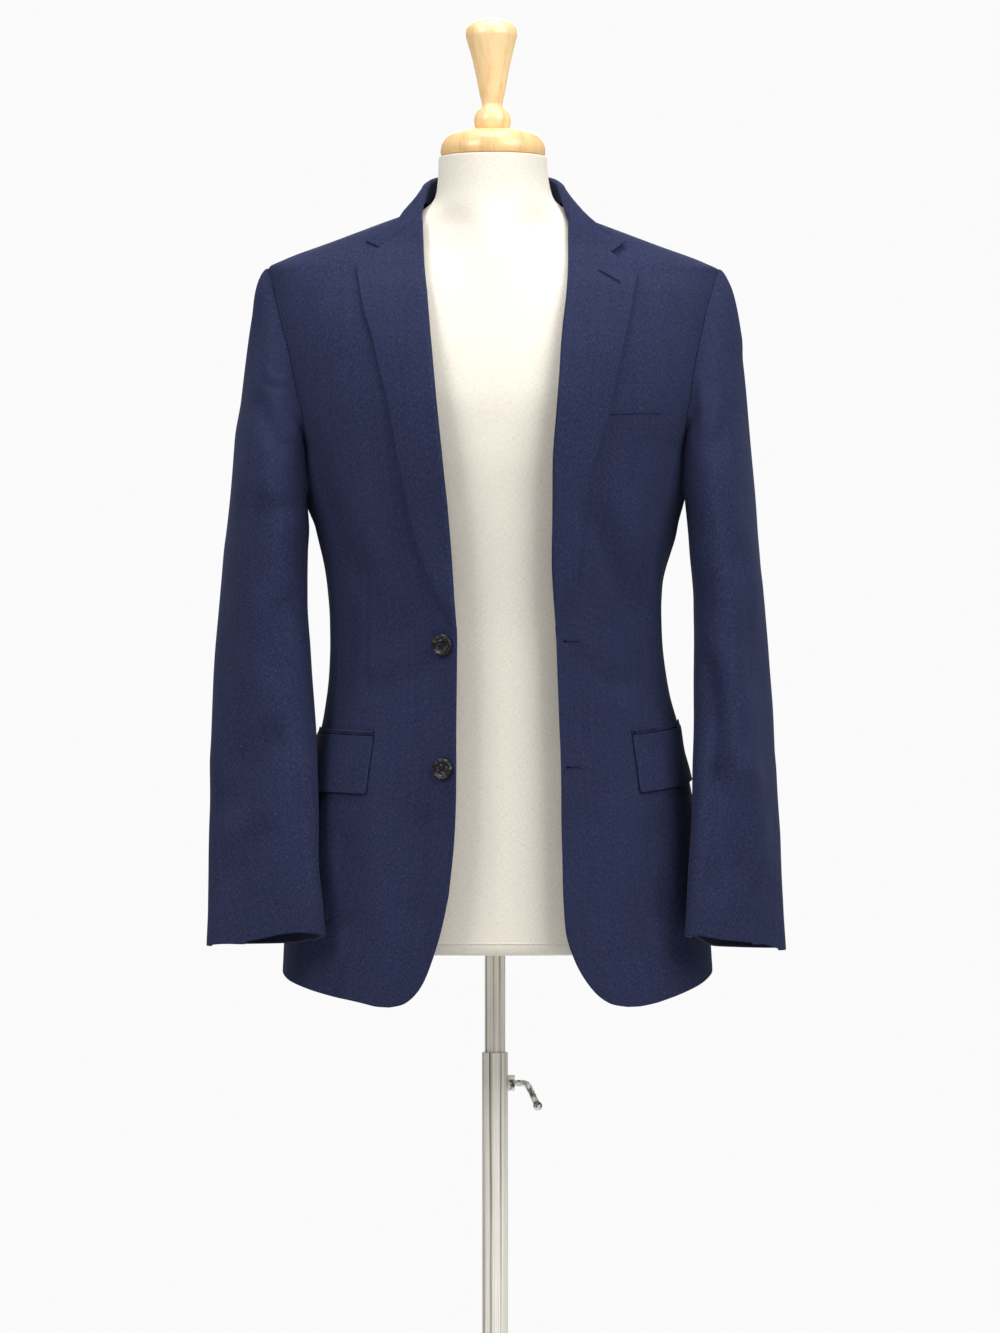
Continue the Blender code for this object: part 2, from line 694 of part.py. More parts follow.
def build_back(side):
    right = side_seam("back_seam", VENT_HEM_Z[side], BACK_JOIN_Z)[:-1]
    right += armhole_run("back", BACK_JOIN_Z, SHOULDER_END_Z, ARMHOLE_ROWS)
    for point in right:
        open_share = smooth((VENT_TOP_Z - point[1]) / VENT_RUN)
        point[0] -= open_share * VENT_LAP / torso_radius(point[0], point[1])
    rows = len(right) - 1
    left = []
    for k in range(rows + 1):
        z = BACK_HEM_Z + (BACK_NECK_Z - BACK_HEM_Z) * k / rows
        left.append(np.array([math.pi, z]))
    bottom = [left[0] + (right[0] - left[0]) * k / BACK_COLUMNS for k in range(BACK_COLUMNS + 1)]
    top = top_border(left[-1], BACK_COLUMNS, BACK_NECK_COLUMNS)

    def vent_lift(angle, z):
        near = 1 - max(0.0, angle - seam_angle(z, "back_seam")) / VENT_REACH
        return VENT_LIFT * smooth((VENT_TOP_Z + 2 * VENT_RUN - z) / VENT_RUN) * smooth(near)

    domain = coons(bottom, top, left, right)
    return panel(f"back_{SIDE_NAMES[side]}", domain, side, "lrt", vent_lift)


# ------------------------------------------------------------------- sleeves
def ellipse_girth(a, b):
    return math.pi * (3 * (a + b) - math.sqrt((3 * a + b) * (a + 3 * b)))


def ellipse_for(width, girth, thick):
    """Half axes and the turn of an ellipse of this projected width, girth and thickness."""
    across = min(thick, width * 0.995) / 2
    low, high = across, girth / 4
    for _ in range(50):
        along = (low + high) / 2
        if ellipse_girth(across, along) > girth:
            high = along
        else:
            low = along
    share = ((width / 2) ** 2 - across**2) / (along**2 - across**2)
    return across, along, -math.asin(math.sqrt(min(max(share, 0.0), 1.0)))


SLEEVE_TURN = 24  # columns round a sleeve


def sleeve_section(side, z):
    """A ring of the sleeve's outer face; column 0 is the outermost."""
    knots = [row[0] * MM for row in SLEEVE[side]]

    def value(name):
        return curve_through(knots, column(SLEEVE[side], SLEEVE_COLUMNS, name), z)

    inner, outer = value("inner") * MM, value("outer") * MM
    across, along, turn = ellipse_for(outer - inner, value("girth") * MM, value("thick") * MM)
    middle_x = (inner + outer) / 2
    middle_y = value("middle_y") * MM
    ring = []
    for k in range(SLEEVE_TURN):
        around = 2 * math.pi * k / SLEEVE_TURN
        u, v = across * math.cos(around), along * math.sin(around)
        x = middle_x + u * math.cos(turn) + v * math.sin(turn)
        y = middle_y - v * math.cos(turn) + u * math.sin(turn)
        ring.append(np.array([side * x, y, z]))
    return ring


def armhole_ring(side, grow):
    """The armhole as a ring that starts at the shoulder's end and runs forward."""
    fine = armhole_run("front", SHOULDER_END_Z, ARMHOLE[0][0] * MM, 40)
    fine += armhole_run("back", ARMHOLE[0][0] * MM, SHOULDER_END_Z, 40)[1:]
    points = [torso(a, z, side, SLEEVE_SEAT) for a, z in fine]
    lengths = [0.0]
    for a, b in zip(points, points[1:]):
        lengths.append(lengths[-1] + float(np.linalg.norm(b - a)))
    middle = sum(points) / len(points)
    ring = []
    for k in range(SLEEVE_TURN):
        s = lengths[-1] * k / SLEEVE_TURN
        i = min(int(np.searchsorted(lengths, s, side="right")) - 1, len(points) - 2)
        t = (s - lengths[i]) / (lengths[i + 1] - lengths[i])
        point = points[i] + (points[i + 1] - points[i]) * t
        away = point - middle
        away[0] = 0.0
        away /= np.linalg.norm(away)
        ring.append(point + away * grow)
    return ring


CAP_ROWS = 6
ARM_ROWS = 11


def sleeve_rings(side):
    start = armhole_ring(side, SLEEVE_MOUTH / 2)
    low = sleeve_section(side, SLEEVE_TOP_Z)
    below = sleeve_section(side, SLEEVE_TOP_Z - SLOPE_REACH)
    rings = []
    for row in range(CAP_ROWS):
        t = row / CAP_ROWS
        h00, h10 = 2 * t**3 - 3 * t**2 + 1, t**3 - 2 * t**2 + t
        h01, h11 = -2 * t**3 + 3 * t**2, t**3 - t**2
        ring = []
        for k in range(SLEEVE_TURN):
            drop = max(start[k][2] - low[k][2], 0.0)
            share = drop / (SHOULDER_END_Z - SLEEVE_TOP_Z)
            push = np.array([side * (0.35 + 0.65 * share) * CAP_PUSH, 0.0, CAP_RISE * share])
            down = (below[k] - low[k]) / SLOPE_REACH * CAP_DROP * (0.25 + 0.75 * share)
            ring.append(h00 * start[k] + h10 * push + h01 * low[k] + h11 * down)
        rings.append(ring)
    for row in range(ARM_ROWS + 1):
        z = SLEEVE_TOP_Z + (CUFF_Z - SLEEVE_TOP_Z) * row / ARM_ROWS
        share = smooth((row / ARM_ROWS - 0.6) / 0.4)
        ring = sleeve_section(side, z)
        deep = max(abs(p[1] - ring[0][1]) for p in ring)
        middle_y = sum(p[1] for p in ring) / len(ring)
        rings.append([
            p - np.array([0, 0, share * CUFF_SLANT * (p[1] - middle_y) / (2 * deep)])
            for p in ring
        ])
    return rings


def ring_normals(rings, side):
    normals = []
    count = len(rings[0])
    for i, ring in enumerate(rings):
        above = rings[max(i - 1, 0)]
        below = rings[min(i + 1, len(rings) - 1)]
        middle = sum(ring) / count
        line = []
        for k in range(count):
            around = ring[(k + 1) % count] - ring[k - 1]
            along = below[k] - above[k]
            normal = np.cross(around, along)
            normal /= np.linalg.norm(normal)
            if np.dot(normal, ring[k] - middle) < 0:
                normal = -normal
            line.append(normal)
        normals.append(line)
    return normals


def build_sleeve(side):
    rings = sleeve_rings(side)
    normals = ring_normals(rings, side)
    inner = [
        [p - n * WALL for p, n in zip(ring, line)] for ring, line in zip(rings, normals)
    ]
    inner_start = armhole_ring(side, -SLEEVE_MOUTH / 2)
    for k in range(SLEEVE_TURN):  # the sleeve's start lies on the seam, face to face
        inner[0][k] = inner_start[k]
    front = round(FRONT_SLEEVE_SEAM / 360 * SLEEVE_TURN)
    back = SLEEVE_TURN - round(BACK_SLEEVE_SEAM / 360 * SLEEVE_TURN)
    spans = {
        "sleeve_top": [k % SLEEVE_TURN for k in range(back, front + SLEEVE_TURN + 1)],
        "sleeve_under": list(range(front, back + 1)),
    }
    for name, span in spans.items():
        if name == "sleeve_under":
            for grid in (rings, inner):
                grid[-1] = [
                    p + (q - p) * (CUFF_STEP / float(np.linalg.norm(q - p)))
                    for p, q in zip(grid[-1], grid[-2])
                ]
        wall_between(
            f"{name}_{SIDE_NAMES[side]}",
            inset([[ring[k] for k in span] for ring in rings], "lr"),
            inset([[ring[k] for k in span] for ring in inner], "lr"),
            "navy_wool",
        )


# ------------------------------------------------------------ lapel, collar
def thick_sheet(name, middle, wall):
    """A closed wall round a grid of middle points."""
    rows, cols = len(middle), len(middle[0])
    outer, inner = [], []
    for i in range(rows):
        line_out, line_in = [], []
        for j in range(cols):
            along = middle[min(i + 1, rows - 1)][j] - middle[max(i - 1, 0)][j]
            across = middle[i][min(j + 1, cols - 1)] - middle[i][max(j - 1, 0)]
            normal = np.cross(along, across)
            normal /= np.linalg.norm(normal)
            line_out.append(middle[i][j] + normal * wall / 2)
            line_in.append(middle[i][j] - normal * wall / 2)
        outer.append(line_out)
        inner.append(line_in)
    return wall_between(name, outer, inner, "navy_wool")


FOLD_STEPS = 5
LAPEL_ROWS = 15
LAPEL_FLAT_STEPS = 5


def lapel_line(side, roll, outer, kink=None):
    """Middle points from under the roll, round it and out over the chest.

    roll and outer are (x, z) on the torso; kink is a point between them."""
    middle_lift = LAPEL_LIFT + LAPEL_WALL / 2
    under = -WALL / 2
    centre_lift = (middle_lift + under) / 2
    radius = (middle_lift - under) / 2
    direction = np.array(kink if kink is not None else outer) - np.array(roll)
    direction = direction / np.linalg.norm(direction)
    line = []
    for k in range(FOLD_STEPS + 1):
        turn = math.pi * k / FOLD_STEPS
        back = FOLD_RADIUS - radius * math.sin(turn)
        lift = centre_lift - radius * math.cos(turn)
        x, z = np.array(roll) + direction * back
        line.append(torso(angle_at_x(x, z), z, side, lift))
    start = np.array(roll) + direction * FOLD_RADIUS
    stops = [start, np.array(outer)]
    if kink is not None:
        stops.insert(1, np.array(kink))
    for x, z in polyline_straight(stops, LAPEL_FLAT_STEPS)[1:]:
        line.append(torso(angle_at_x(x, z), z, side, middle_lift))
    return line


def polyline_straight(points, count):
    lengths = [0.0]
    for a, b in zip(points, points[1:]):
        lengths.append(lengths[-1] + float(np.linalg.norm(b - a)))
    columns = list(zip(*points))
    return [
        np.array([np.interp(lengths[-1] * k / count, lengths, values) for values in columns])
        for k in range(count + 1)
    ]


def build_lapel(side):
    outer = polyline([(x * MM, z * MM) for x, z in LAPEL_EDGE[side]], LAPEL_ROWS)
    start = BREAK_Z + BREAK_JOG + LAPEL_START
    grid = []
    for k in range(LAPEL_ROWS + 1):
        t = k / LAPEL_ROWS
        z = start + (GORGE_ROLL_Z - start) * t
        grid.append(lapel_line(side, (edge_x(z, side), z), outer[k]))
    grid = inset(grid, "t", GORGE_GAP)
    thick_sheet(f"lapel_{SIDE_NAMES[side]}", grid, LAPEL_WALL)


def push_clear(point, side, gap):
    """Move a point out until it clears the torso by the gap."""
    x, y, z = point
    if z > TORSO_TOP_Z:
        return point
    angle = math.atan2(abs(x), -y)
    surface = torso(angle, z, side)
    normal = torso_normal(angle, z, side)
    away = float(np.dot(point - surface, normal))
    return point + normal * max(0.0, gap - away)


COLLAR_FALL_STEPS = 5


def collar_line(side, foot, top, edge):
    """Middle points from the foot of the stand over the fold to the outer edge."""
    foot, top, edge = (np.array(p) * MM for p in (foot, top, edge))
    out = edge - top
    out[2] = 0.0
    out /= np.linalg.norm(out)
    radius = COLLAR_FOLD_RADIUS
    drop = np.array([0.0, 0.0, -radius])
    inside = top - out * radius + drop
    outside = top + out * radius + drop
    line = [foot, foot + (inside - foot) * 0.55, inside]
    for turn in (45, 90, 135):
        a = math.radians(turn)
        line.append(top + drop - out * radius * math.cos(a) - drop * math.sin(a))
    line.append(outside)
    for k in range(1, COLLAR_FALL_STEPS + 1):
        t = k / COLLAR_FALL_STEPS
        point = outside + (edge - outside) * t
        point = point + out * COLLAR_BOW * math.sin(math.pi * t)
        line.append(push_clear(point, side, LAPEL_LIFT + COLLAR_WALL / 2))
    return [np.array([side * abs(p[0]) if side else p[0], p[1], p[2]]) for p in line]


def mirrored(line):
    return [np.array([-p[0], p[1], p[2]]) for p in line]


def collar_half(side):
    """Lines of the collar from the centre back to the gorge of one side."""
    lines = [collar_line(LEFT, *row) for row in COLLAR]
    roll = (edge_x(GORGE_ROLL_Z, side), GORGE_ROLL_Z)
    notch = tuple(v * MM for v in NOTCH_INNER[side])
    corner = tuple(v * MM for v in COLLAR_CORNER[side])
    last = lapel_line(LEFT, roll, corner, kink=notch)
    while len(last) < len(lines[0]):
        last.insert(1, (last[0] + last[1]) / 2)
    lines.append(last)
    return lines if side == LEFT else [mirrored(line) for line in lines]


def build_collar():
    left = inset(collar_half(LEFT), "t", GORGE_GAP)
    right = inset(collar_half(RIGHT), "t", GORGE_GAP)
    grid = list(reversed(right)) + left[1:]
    thick_sheet("collar", grid, COLLAR_WALL)


# --------------------------------------------------------------------- trims
def patch_on_torso(name, side, corners, lift, wall, cols, rows):
    """A wall laid on the torso between four (angle, z) corners.

    corners: foot front, foot rear, top front, top rear."""
    foot_a, foot_b, top_a, top_b = (np.array(c) for c in corners)
    outer, inner = [], []
    for i in range(rows + 1):
        t = i / rows
        a, b = foot_a + (top_a - foot_a) * t, foot_b + (top_b - foot_b) * t
        line = [a + (b - a) * k / cols for k in range(cols + 1)]
        outer.append([torso(p[0], p[1], side, lift + wall) for p in line])
        inner.append([torso(p[0], p[1], side, lift) for p in line])
    return wall_between(name, outer, inner, "navy_wool")


def at_xz(x, z):
    return (angle_at_x(x * MM, z * MM), z * MM)


def build_flap(side):
    size = FLAP[side]
    rear = math.radians(size["rear"])
    top_front = at_xz(*size["front_top"])
    top_rear = (rear, size["rear_top_z"] * MM)
    corners = (
        at_xz(*size["front_foot"]),
        (rear, size["rear_foot_z"] * MM),
        top_front,
        top_rear,
    )
    name = SIDE_NAMES[side]
    patch_on_torso(f"flap_{name}", side, corners, TRIM_LIFT, FLAP_WALL, 7, 3)
    rise = np.array([0.0, SEAM])
    height = np.array([0.0, JET_HEIGHT])
    low_a, low_b = np.array(top_front) + rise, np.array(top_rear) + rise
    corners = (low_a, low_b, low_a + height, low_b + height)
    patch_on_torso(f"jet_{name}", side, corners, TRIM_LIFT, JET_WALL, 7, 1)


def build_welt():
    (x0, z0), (x1, z1), height = WELT["inner"], WELT["outer"], WELT["height"]
    corners = (at_xz(x0, z0), at_xz(x1, z1), at_xz(x0, z0 + height), at_xz(x1, z1 + height))
    patch_on_torso("chest_welt", LEFT, corners, WELT_LIFT, WELT_WALL, 5, 2)


def turned(name, profile, material_name, steps=32, frame=None):
    """A solid of revolution; profile is (radius, height) from foot to top.

    frame is (origin, axis) for a solid that doesn't stand on the stand's axis."""
    origin, axis = frame or (np.zeros(3), np.array([0.0, 0.0, 1.0]))
    axis = axis / np.linalg.norm(axis)
    helper = np.array([1.0, 0, 0]) if abs(axis[0]) < 0.9 else np.array([0, 1.0, 0])
    u = np.cross(axis, helper)
    u /= np.linalg.norm(u)
    v = np.cross(axis, u)
    vertices, faces = [], []
    for radius, height in profile:
        for k in range(steps):
            a = 2 * math.pi * k / steps
            vertices.append(origin + axis * height + (u * math.cos(a) + v * math.sin(a)) * radius)
    for i in range(len(profile) - 1):
        for k in range(steps):
            n = (k + 1) % steps
            faces.append((i * steps + k, i * steps + n, (i + 1) * steps + n, (i + 1) * steps + k))
    faces.append(tuple(reversed(range(steps))))
    top = (len(profile) - 1) * steps
    faces.append(tuple(range(top, top + steps)))
    return new_object(name, vertices, faces, material_name)


def build_button(name, x, z):
    x, z = x * MM, z * MM
    angle = angle_at_x(x, z)
    seat = torso(angle, z, RIGHT, BUTTON_SHANK)
    normal = torso_normal(angle, z, RIGHT)
    r, h = BUTTON_DIAMETER / 2, BUTTON_THICK
    rim = 0.9 * MM
    profile = (
        (r * 0.55, 0.0), (r - rim, 0.5 * MM), (r, 1.5 * MM), (r, h - 1.2 * MM),
        (r - rim, h), (r - 2.2 * MM, h), (r - 3.2 * MM, h - 0.9 * MM),
    )
    turned(name, profile, "horn", 16, (seat, normal))


# ------------------------------------------------------------ form and stand
def form_point(angle, z, side):
    knots = [row[0] * MM for row in FORM_CLEAR]
    clear = curve_through(knots, column(FORM_CLEAR, FORM_CLEAR_COLUMNS, "clearance"), z) * MM
    clear += FORM_CLEAR_BEHIND * smooth((angle - math.pi / 2) / FORM_CLEAR_TURN)

    def plain(a, h):
        r = torso_radius(a, h)
        return np.array([side * r * math.sin(a), -r * math.cos(a), h])

    normal = side * np.cross(
        plain(angle + ANGLE_STEP, z) - plain(angle - ANGLE_STEP, z),
        plain(angle, z + HEIGHT_STEP) - plain(angle, z - HEIGHT_STEP),
    )
    normal /= np.linalg.norm(normal)
    point = plain(angle, z) - normal * (WALL + clear)
    point[0] = max(-ARM_PLATE_X, min(ARM_PLATE_X, point[0]))
    return point


FORM_COLUMNS = 32
FORM_ROWS = (0.752, 0.80, 0.86, 0.911, 0.952, 1.006, 1.05, 1.102, 1.15, 1.20, 1.25, 1.30, 1.34,
             1.37, 1.39, 1.402, 1.411, 1.419, 1.428, 1.437, 1.445, 1.453)


def form_ring(z):
    ring = []
    for k in range(FORM_COLUMNS):
        turn = 2 * math.pi * k / FORM_COLUMNS
        angle = turn if turn <= math.pi else 2 * math.pi - turn
        side = LEFT if turn <= math.pi else RIGHT
        if z <= FORM_ROWS[-1]:
            ring.append(form_point(angle, z, side))
        else:
            knots = [row[0] * MM for row in NECK]
            half = curve_through(knots, column(NECK, NECK_COLUMNS, "side"), z) * MM
            face = "front" if math.cos(angle) > 0 else "back"
            deep = curve_through(knots, column(NECK, NECK_COLUMNS, face), z) * MM
            radius = 1 / math.hypot(math.sin(angle) / half, math.cos(angle) / deep)
            ring.append(
                np.array([side * radius * math.sin(angle), -radius * math.cos(angle), z])
            )
    return ring


def build_form():
    """The torso, with a blind hole in its foot for the inner tube."""
    rings = [form_ring(z) for z in FORM_ROWS]
    rings += [form_ring(row[0] * MM) for row in NECK]
    foot_edge = [p * np.array([0.975, 0.965, 1.0]) for p in rings[0]]
    low = FORM_FOOT_Z - FORM_EDGE_DROP
    foot_edge = [np.array([p[0], p[1], low]) for p in foot_edge]
    bore = INNER_TUBE / 2 + TUBE_GAP
    circle = []
    for k in range(FORM_COLUMNS):
        turn = 2 * math.pi * k / FORM_COLUMNS
        circle.append(np.array([bore * math.sin(turn), -bore * math.cos(turn), 0.0]))
    rings = [
        [c + np.array([0, 0, low + SOCKET_DEPTH]) for c in circle],
        [c + np.array([0, 0, low]) for c in circle],
        foot_edge,
    ] + rings
    vertices, faces = [], []
    for ring in rings:
        vertices += ring
    n = FORM_COLUMNS
    for i in range(len(rings) - 1):
        for k in range(n):
            m = (k + 1) % n
            faces.append((i * n + k, i * n + m, (i + 1) * n + m, (i + 1) * n + k))
    faces.append(tuple(reversed(range(n))))
    top = (len(rings) - 1) * n
    faces.append(tuple(range(top, top + n)))
    return new_object("form_body", vertices, faces, "canvas")


def build_neck_cap():
    r = CAP_DIAMETER / 2
    low, high = FORM_TOP_Z + SEAM, CAP_TOP_Z
    profile = (
        (r - 4 * MM, low), (r - 0.8 * MM, low + 1.5 * MM), (r, low + 4.5 * MM),
        (r - 0.3 * MM, low + 9 * MM), (r - 2.2 * MM, low + 14 * MM),
        (r - 6.5 * MM, high - 3.2 * MM), (r - 12 * MM, high - 0.6 * MM), (r - 15 * MM, high),
    )
    turned("neck_cap", profile, "turned_wood", 32)


def build_finial():
    scale = (FINIAL_TOP_Z - CAP_TOP_Z) / FINIAL_PROFILE[-1][1]
    profile = [(r * MM, CAP_TOP_Z + h * scale) for r, h in FINIAL_PROFILE]
    turned("finial", profile, "turned_wood", 22)


def tube(name, outer_d, inner_d, low, high, steps):
    """An open tube between two heights."""
    rings = ((outer_d / 2, low), (outer_d / 2, high), (inner_d / 2, high), (inner_d / 2, low))
    vertices, faces = [], []
    for r, z in rings:
        for k in range(steps):
            a = 2 * math.pi * k / steps
            vertices.append((r * math.cos(a), r * math.sin(a), z))
    for i in range(4):
        j = (i + 1) % 4
        for k in range(steps):
            n = (k + 1) % steps
            faces.append((i * steps + k, i * steps + n, j * steps + n, j * steps + k))
    return new_object(name, vertices, faces, "steel")


def build_stand():
    bore = INNER_TUBE + 2 * TUBE_GAP
    boss_top = BASE_THICK + BASE_BOSS_HEIGHT
    low = BASE_THICK + SEAM
    tube("outer_tube", OUTER_TUBE, bore, low, OUTER_TUBE_TOP_Z, 28)
    inner_top = FORM_FOOT_Z - FORM_EDGE_DROP + SOCKET_DEPTH - SEAM
    tube("inner_tube", INNER_TUBE, INNER_TUBE - 2 * TUBE_WALL, INNER_TUBE_FOOT_Z, inner_top, 28)
    tube("base_boss", BASE_BOSS_DIAMETER, OUTER_TUBE + 2 * TUBE_GAP, low, boss_top, 32)
    r = BASE_DIAMETER / 2
    profile = (
        (r - 1 * MM, 0.0), (r, 1 * MM), (r, BASE_THICK - 3 * MM),
        (r - 3 * MM, BASE_THICK - 0.6 * MM), (r - 5 * MM, BASE_THICK),
    )
    turned("base_plate", profile, "steel", 40)


def build_clamp_nut():
    """A hexagonal nut welded to the outer tube."""
    start = OUTER_TUBE / 2 + SEAM
    bore = SCREW_DIAMETER / 2 + TUBE_GAP
    vertices, faces = [], []
    for x, shape in (
        (start, "hex"), (start, "bore"), (start + NUT_LENGTH, "bore"), (start + NUT_LENGTH, "hex"),
    ):
        for k in range(CLAMP_STEPS):
            a = 2 * math.pi * k / CLAMP_STEPS
            r = bore
            if shape == "hex":
                from_flat = (a + math.pi / 6) % (math.pi / 3) - math.pi / 6
                r = NUT_ACROSS / 2 / math.cos(from_flat)
            vertices.append((x, r * math.cos(a), CLAMP_Z + r * math.sin(a)))
    for i in range(4):
        here, after = i * CLAMP_STEPS, (i + 1) % 4 * CLAMP_STEPS
        for k in range(CLAMP_STEPS):
            n = (k + 1) % CLAMP_STEPS
            faces.append((here + k, after + k, after + n, here + n))
    new_object("clamp_nut", vertices, faces, "steel", flat=True)


def build_clamp_screw():
    """The bent screw that pinches the inner tube, with a ball for a handle."""
    r_tube = OUTER_TUBE / 2
    route = [(r_tube + 2 * SEAM, 0.0), (r_tube + 12 * MM, 0.0)]
    route += [(x * MM, dz * MM) for x, dz in HANDLE_ROUTE]
    route = polyline(route, 16)
    steps = CLAMP_STEPS
    vertices, faces = [], []
    for i, (x, dz) in enumerate(route):
        a, b = route[max(i - 1, 0)], route[min(i + 1, len(route) - 1)]
        along = (b - a) / np.linalg.norm(b - a)
        across = np.array([-along[1], along[0]])
        for k in range(steps):
            turn = 2 * math.pi * k / steps
            r = SCREW_DIAMETER / 2
            offset = across * r * math.cos(turn)
            vertices.append((x + offset[0], r * math.sin(turn), CLAMP_Z + dz + offset[1]))
    end = route[-1]
    along = (route[-1] - route[-2]) / np.linalg.norm(route[-1] - route[-2])
    across = np.array([-along[1], along[0]])
    ball = HANDLE_BALL / 2
    for polar in (55, 80, 105, 130, 155):
        a = math.radians(polar)
        r = ball * math.sin(a)
        ahead = ball * (math.cos(math.radians(40)) - math.cos(a))
        for k in range(steps):
            turn = 2 * math.pi * k / steps
            offset = across * r * math.cos(turn) + along * ahead
            vertices.append((end[0] + offset[0], r * math.sin(turn), CLAMP_Z + end[1] + offset[1]))
    rings = len(vertices) // steps
    for i in range(rings - 1):
        for k in range(steps):
            n = (k + 1) % steps
            faces.append((i * steps + k, (i + 1) * steps + k, (i + 1) * steps + n, i * steps + n))
    faces.append(tuple(range(steps)))
    faces.append(tuple(reversed(range((rings - 1) * steps, rings * steps))))
    new_object("clamp_screw", vertices, faces, "steel")


def main():
    clear_scene()
    build_stand()
    build_clamp_nut()
    build_clamp_screw()
    build_form()
    build_neck_cap()
    build_finial()
    for side in (LEFT, RIGHT):
        build_front(side)
        build_side(side)
        build_back(side)
        build_sleeve(side)
        build_lapel(side)
        build_flap(side)
    build_collar()
    build_welt()
    for number, (x, z) in enumerate(BUTTONS, 1):
        build_button(f"button_{number}", x, z)


main()
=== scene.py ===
"""The blazer on its dress form and stand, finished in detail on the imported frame.

Metres, +Z up, the wearer faces -Y, LEFT and RIGHT are the wearer's.  Every cloth
piece is a fine shell on the same surfaces as its solid, with folds added.
"""

import json
import math

import bpy
import numpy as np
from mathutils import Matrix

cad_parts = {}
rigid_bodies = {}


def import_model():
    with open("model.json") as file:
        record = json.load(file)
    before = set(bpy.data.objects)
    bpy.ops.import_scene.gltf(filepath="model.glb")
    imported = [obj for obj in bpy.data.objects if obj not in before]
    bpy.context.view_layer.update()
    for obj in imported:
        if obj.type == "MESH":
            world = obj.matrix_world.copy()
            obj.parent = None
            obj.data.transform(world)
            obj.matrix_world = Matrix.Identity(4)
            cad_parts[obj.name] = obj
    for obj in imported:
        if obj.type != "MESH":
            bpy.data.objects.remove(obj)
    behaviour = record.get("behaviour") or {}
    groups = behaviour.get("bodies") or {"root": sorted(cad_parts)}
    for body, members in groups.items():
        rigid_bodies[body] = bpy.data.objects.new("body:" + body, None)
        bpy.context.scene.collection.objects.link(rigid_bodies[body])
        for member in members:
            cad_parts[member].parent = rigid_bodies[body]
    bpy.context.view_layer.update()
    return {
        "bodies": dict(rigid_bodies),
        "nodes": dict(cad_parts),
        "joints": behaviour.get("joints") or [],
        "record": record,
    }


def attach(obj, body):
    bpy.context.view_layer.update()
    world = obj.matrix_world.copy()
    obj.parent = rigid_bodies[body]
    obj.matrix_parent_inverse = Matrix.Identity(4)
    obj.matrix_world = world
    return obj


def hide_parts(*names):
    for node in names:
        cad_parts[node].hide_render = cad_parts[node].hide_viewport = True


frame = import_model()

MM = 0.001
LEFT, RIGHT = 1, -1
SIDE_NAMES = {LEFT: "left", RIGHT: "right"}

# ------------------------------------------------ the garment's own dimensions
# Tables hold millimetres and degrees, single values metres and radians.
WALL, SEAM, STITCHED = 2.0 * MM, 0.3 * MM, 0.03 * MM
LAPEL_WALL, LAPEL_LIFT = 2.0 * MM, 2.8 * MM
TRIM_LIFT = 0.9 * MM
BREAK_Z, BREAK_JOG = 1.052, 16 * MM
FLARE_DEPTH, FLARE_WIDTH = 18 * MM, 75 * MM
TORSO_COLUMNS = ("z", "front", "side", "back", "front_full", "back_full")
TORSO = (
    (680, 127, 211.0, 136, 1.05, 1.06), (740, 124, 208.5, 133, 1.05, 1.06),
    (800, 120, 204.0, 128, 1.05, 1.06), (860, 116, 197.0, 120, 1.05, 1.06),
    (911, 113, 187.0, 110, 1.05, 1.06), (952, 111, 176.0, 99, 1.04, 1.05),
    (1006, 110, 163.5, 88, 1.04, 1.05), (1050, 110, 160.0, 83, 1.04, 1.05),
    (1102, 113, 163.0, 87, 1.04, 1.05), (1150, 118, 174.0, 97, 1.04, 1.05),
    (1185, 121, 182.0, 104, 1.04, 1.05), (1222, 124, 189.0, 110, 1.04, 1.05),
    (1262, 124, 201.0, 115, 1.04, 1.05), (1314, 115, 211.5, 111, 1.03, 1.04),
    (1350, 104, 215.8, 100, 1.01, 1.02), (1380, 94, 217.8, 90, 0.96, 0.97),
    (1405, 86, 218.7, 82, 0.84, 0.88), (1412, 84, 206.0, 81, 0.81, 0.84),
    (1430, 78, 158.0, 79, 0.76, 0.77), (1448, 71, 110.0, 76, 0.79, 0.80),
    (1457, 66, 86.0, 73, 0.88, 0.90), (1466, 62, 68.0, 70, 1.00, 1.00),
)
NECK_POINT_Z, SHOULDER_END_Z, BACK_NECK_Z = 1.462, 1.405, 1.462
TORSO_TOP_Z = 1.4655
FRONT_EDGE = (  # z, the left edge's x, the right edge's x
    (800, 65.5, 44.5), (860, 64.2, 38.5), (900, 63.8, 37.2), (967, 61.9, 37.0),
    (1020, 60.0, 36.7), (1043, 59.0, 36.5), (1090, 54.6, 38.4), (1119, 53.4, 40.4),
    (1166, 54.2, 43.9), (1207, 54.3, 48.3), (1260, 58.0, 53.7), (1305, 61.4, 58.2),
    (1340, 64.0, 61.4), (1376, 68.3, 64.6), (1407, 70.4, 67.4), (1452, 71.0, 69.0),
)
CUTAWAY = {
    RIGHT: (
        (44.5, 800), (51.4, 767), (59.5, 740), (70.4, 713.7), (81.5, 700.5), (90, 695.6), (101, 693.2),
    ),
    LEFT: (
        (65.5, 800), (68.0, 767), (76.0, 740), (90.0, 715.0), (103.5, 701.0), (114, 695.6), (127, 693.2),
    ),
}
HEM = {
    RIGHT: ((101, 693.2), (112, 693.6), (124, 696.0), (136, 698.6), (162, 703.0)),
    LEFT: ((127, 693.2), (137, 693.3), (148, 694.8), (163, 698.0)),
}
SEAM_FOOT_Z = {"front": {RIGHT: 0.7040, LEFT: 0.6990}, "back": {RIGHT: 0.7325, LEFT: 0.7380}}
BACK_HEM_Z = 0.735
VENT_TOP_Z, VENT_LAP, VENT_LIFT, VENT_RUN = 0.945, 9 * MM, 3.5 * MM, 45 * MM
VENT_REACH = 0.25
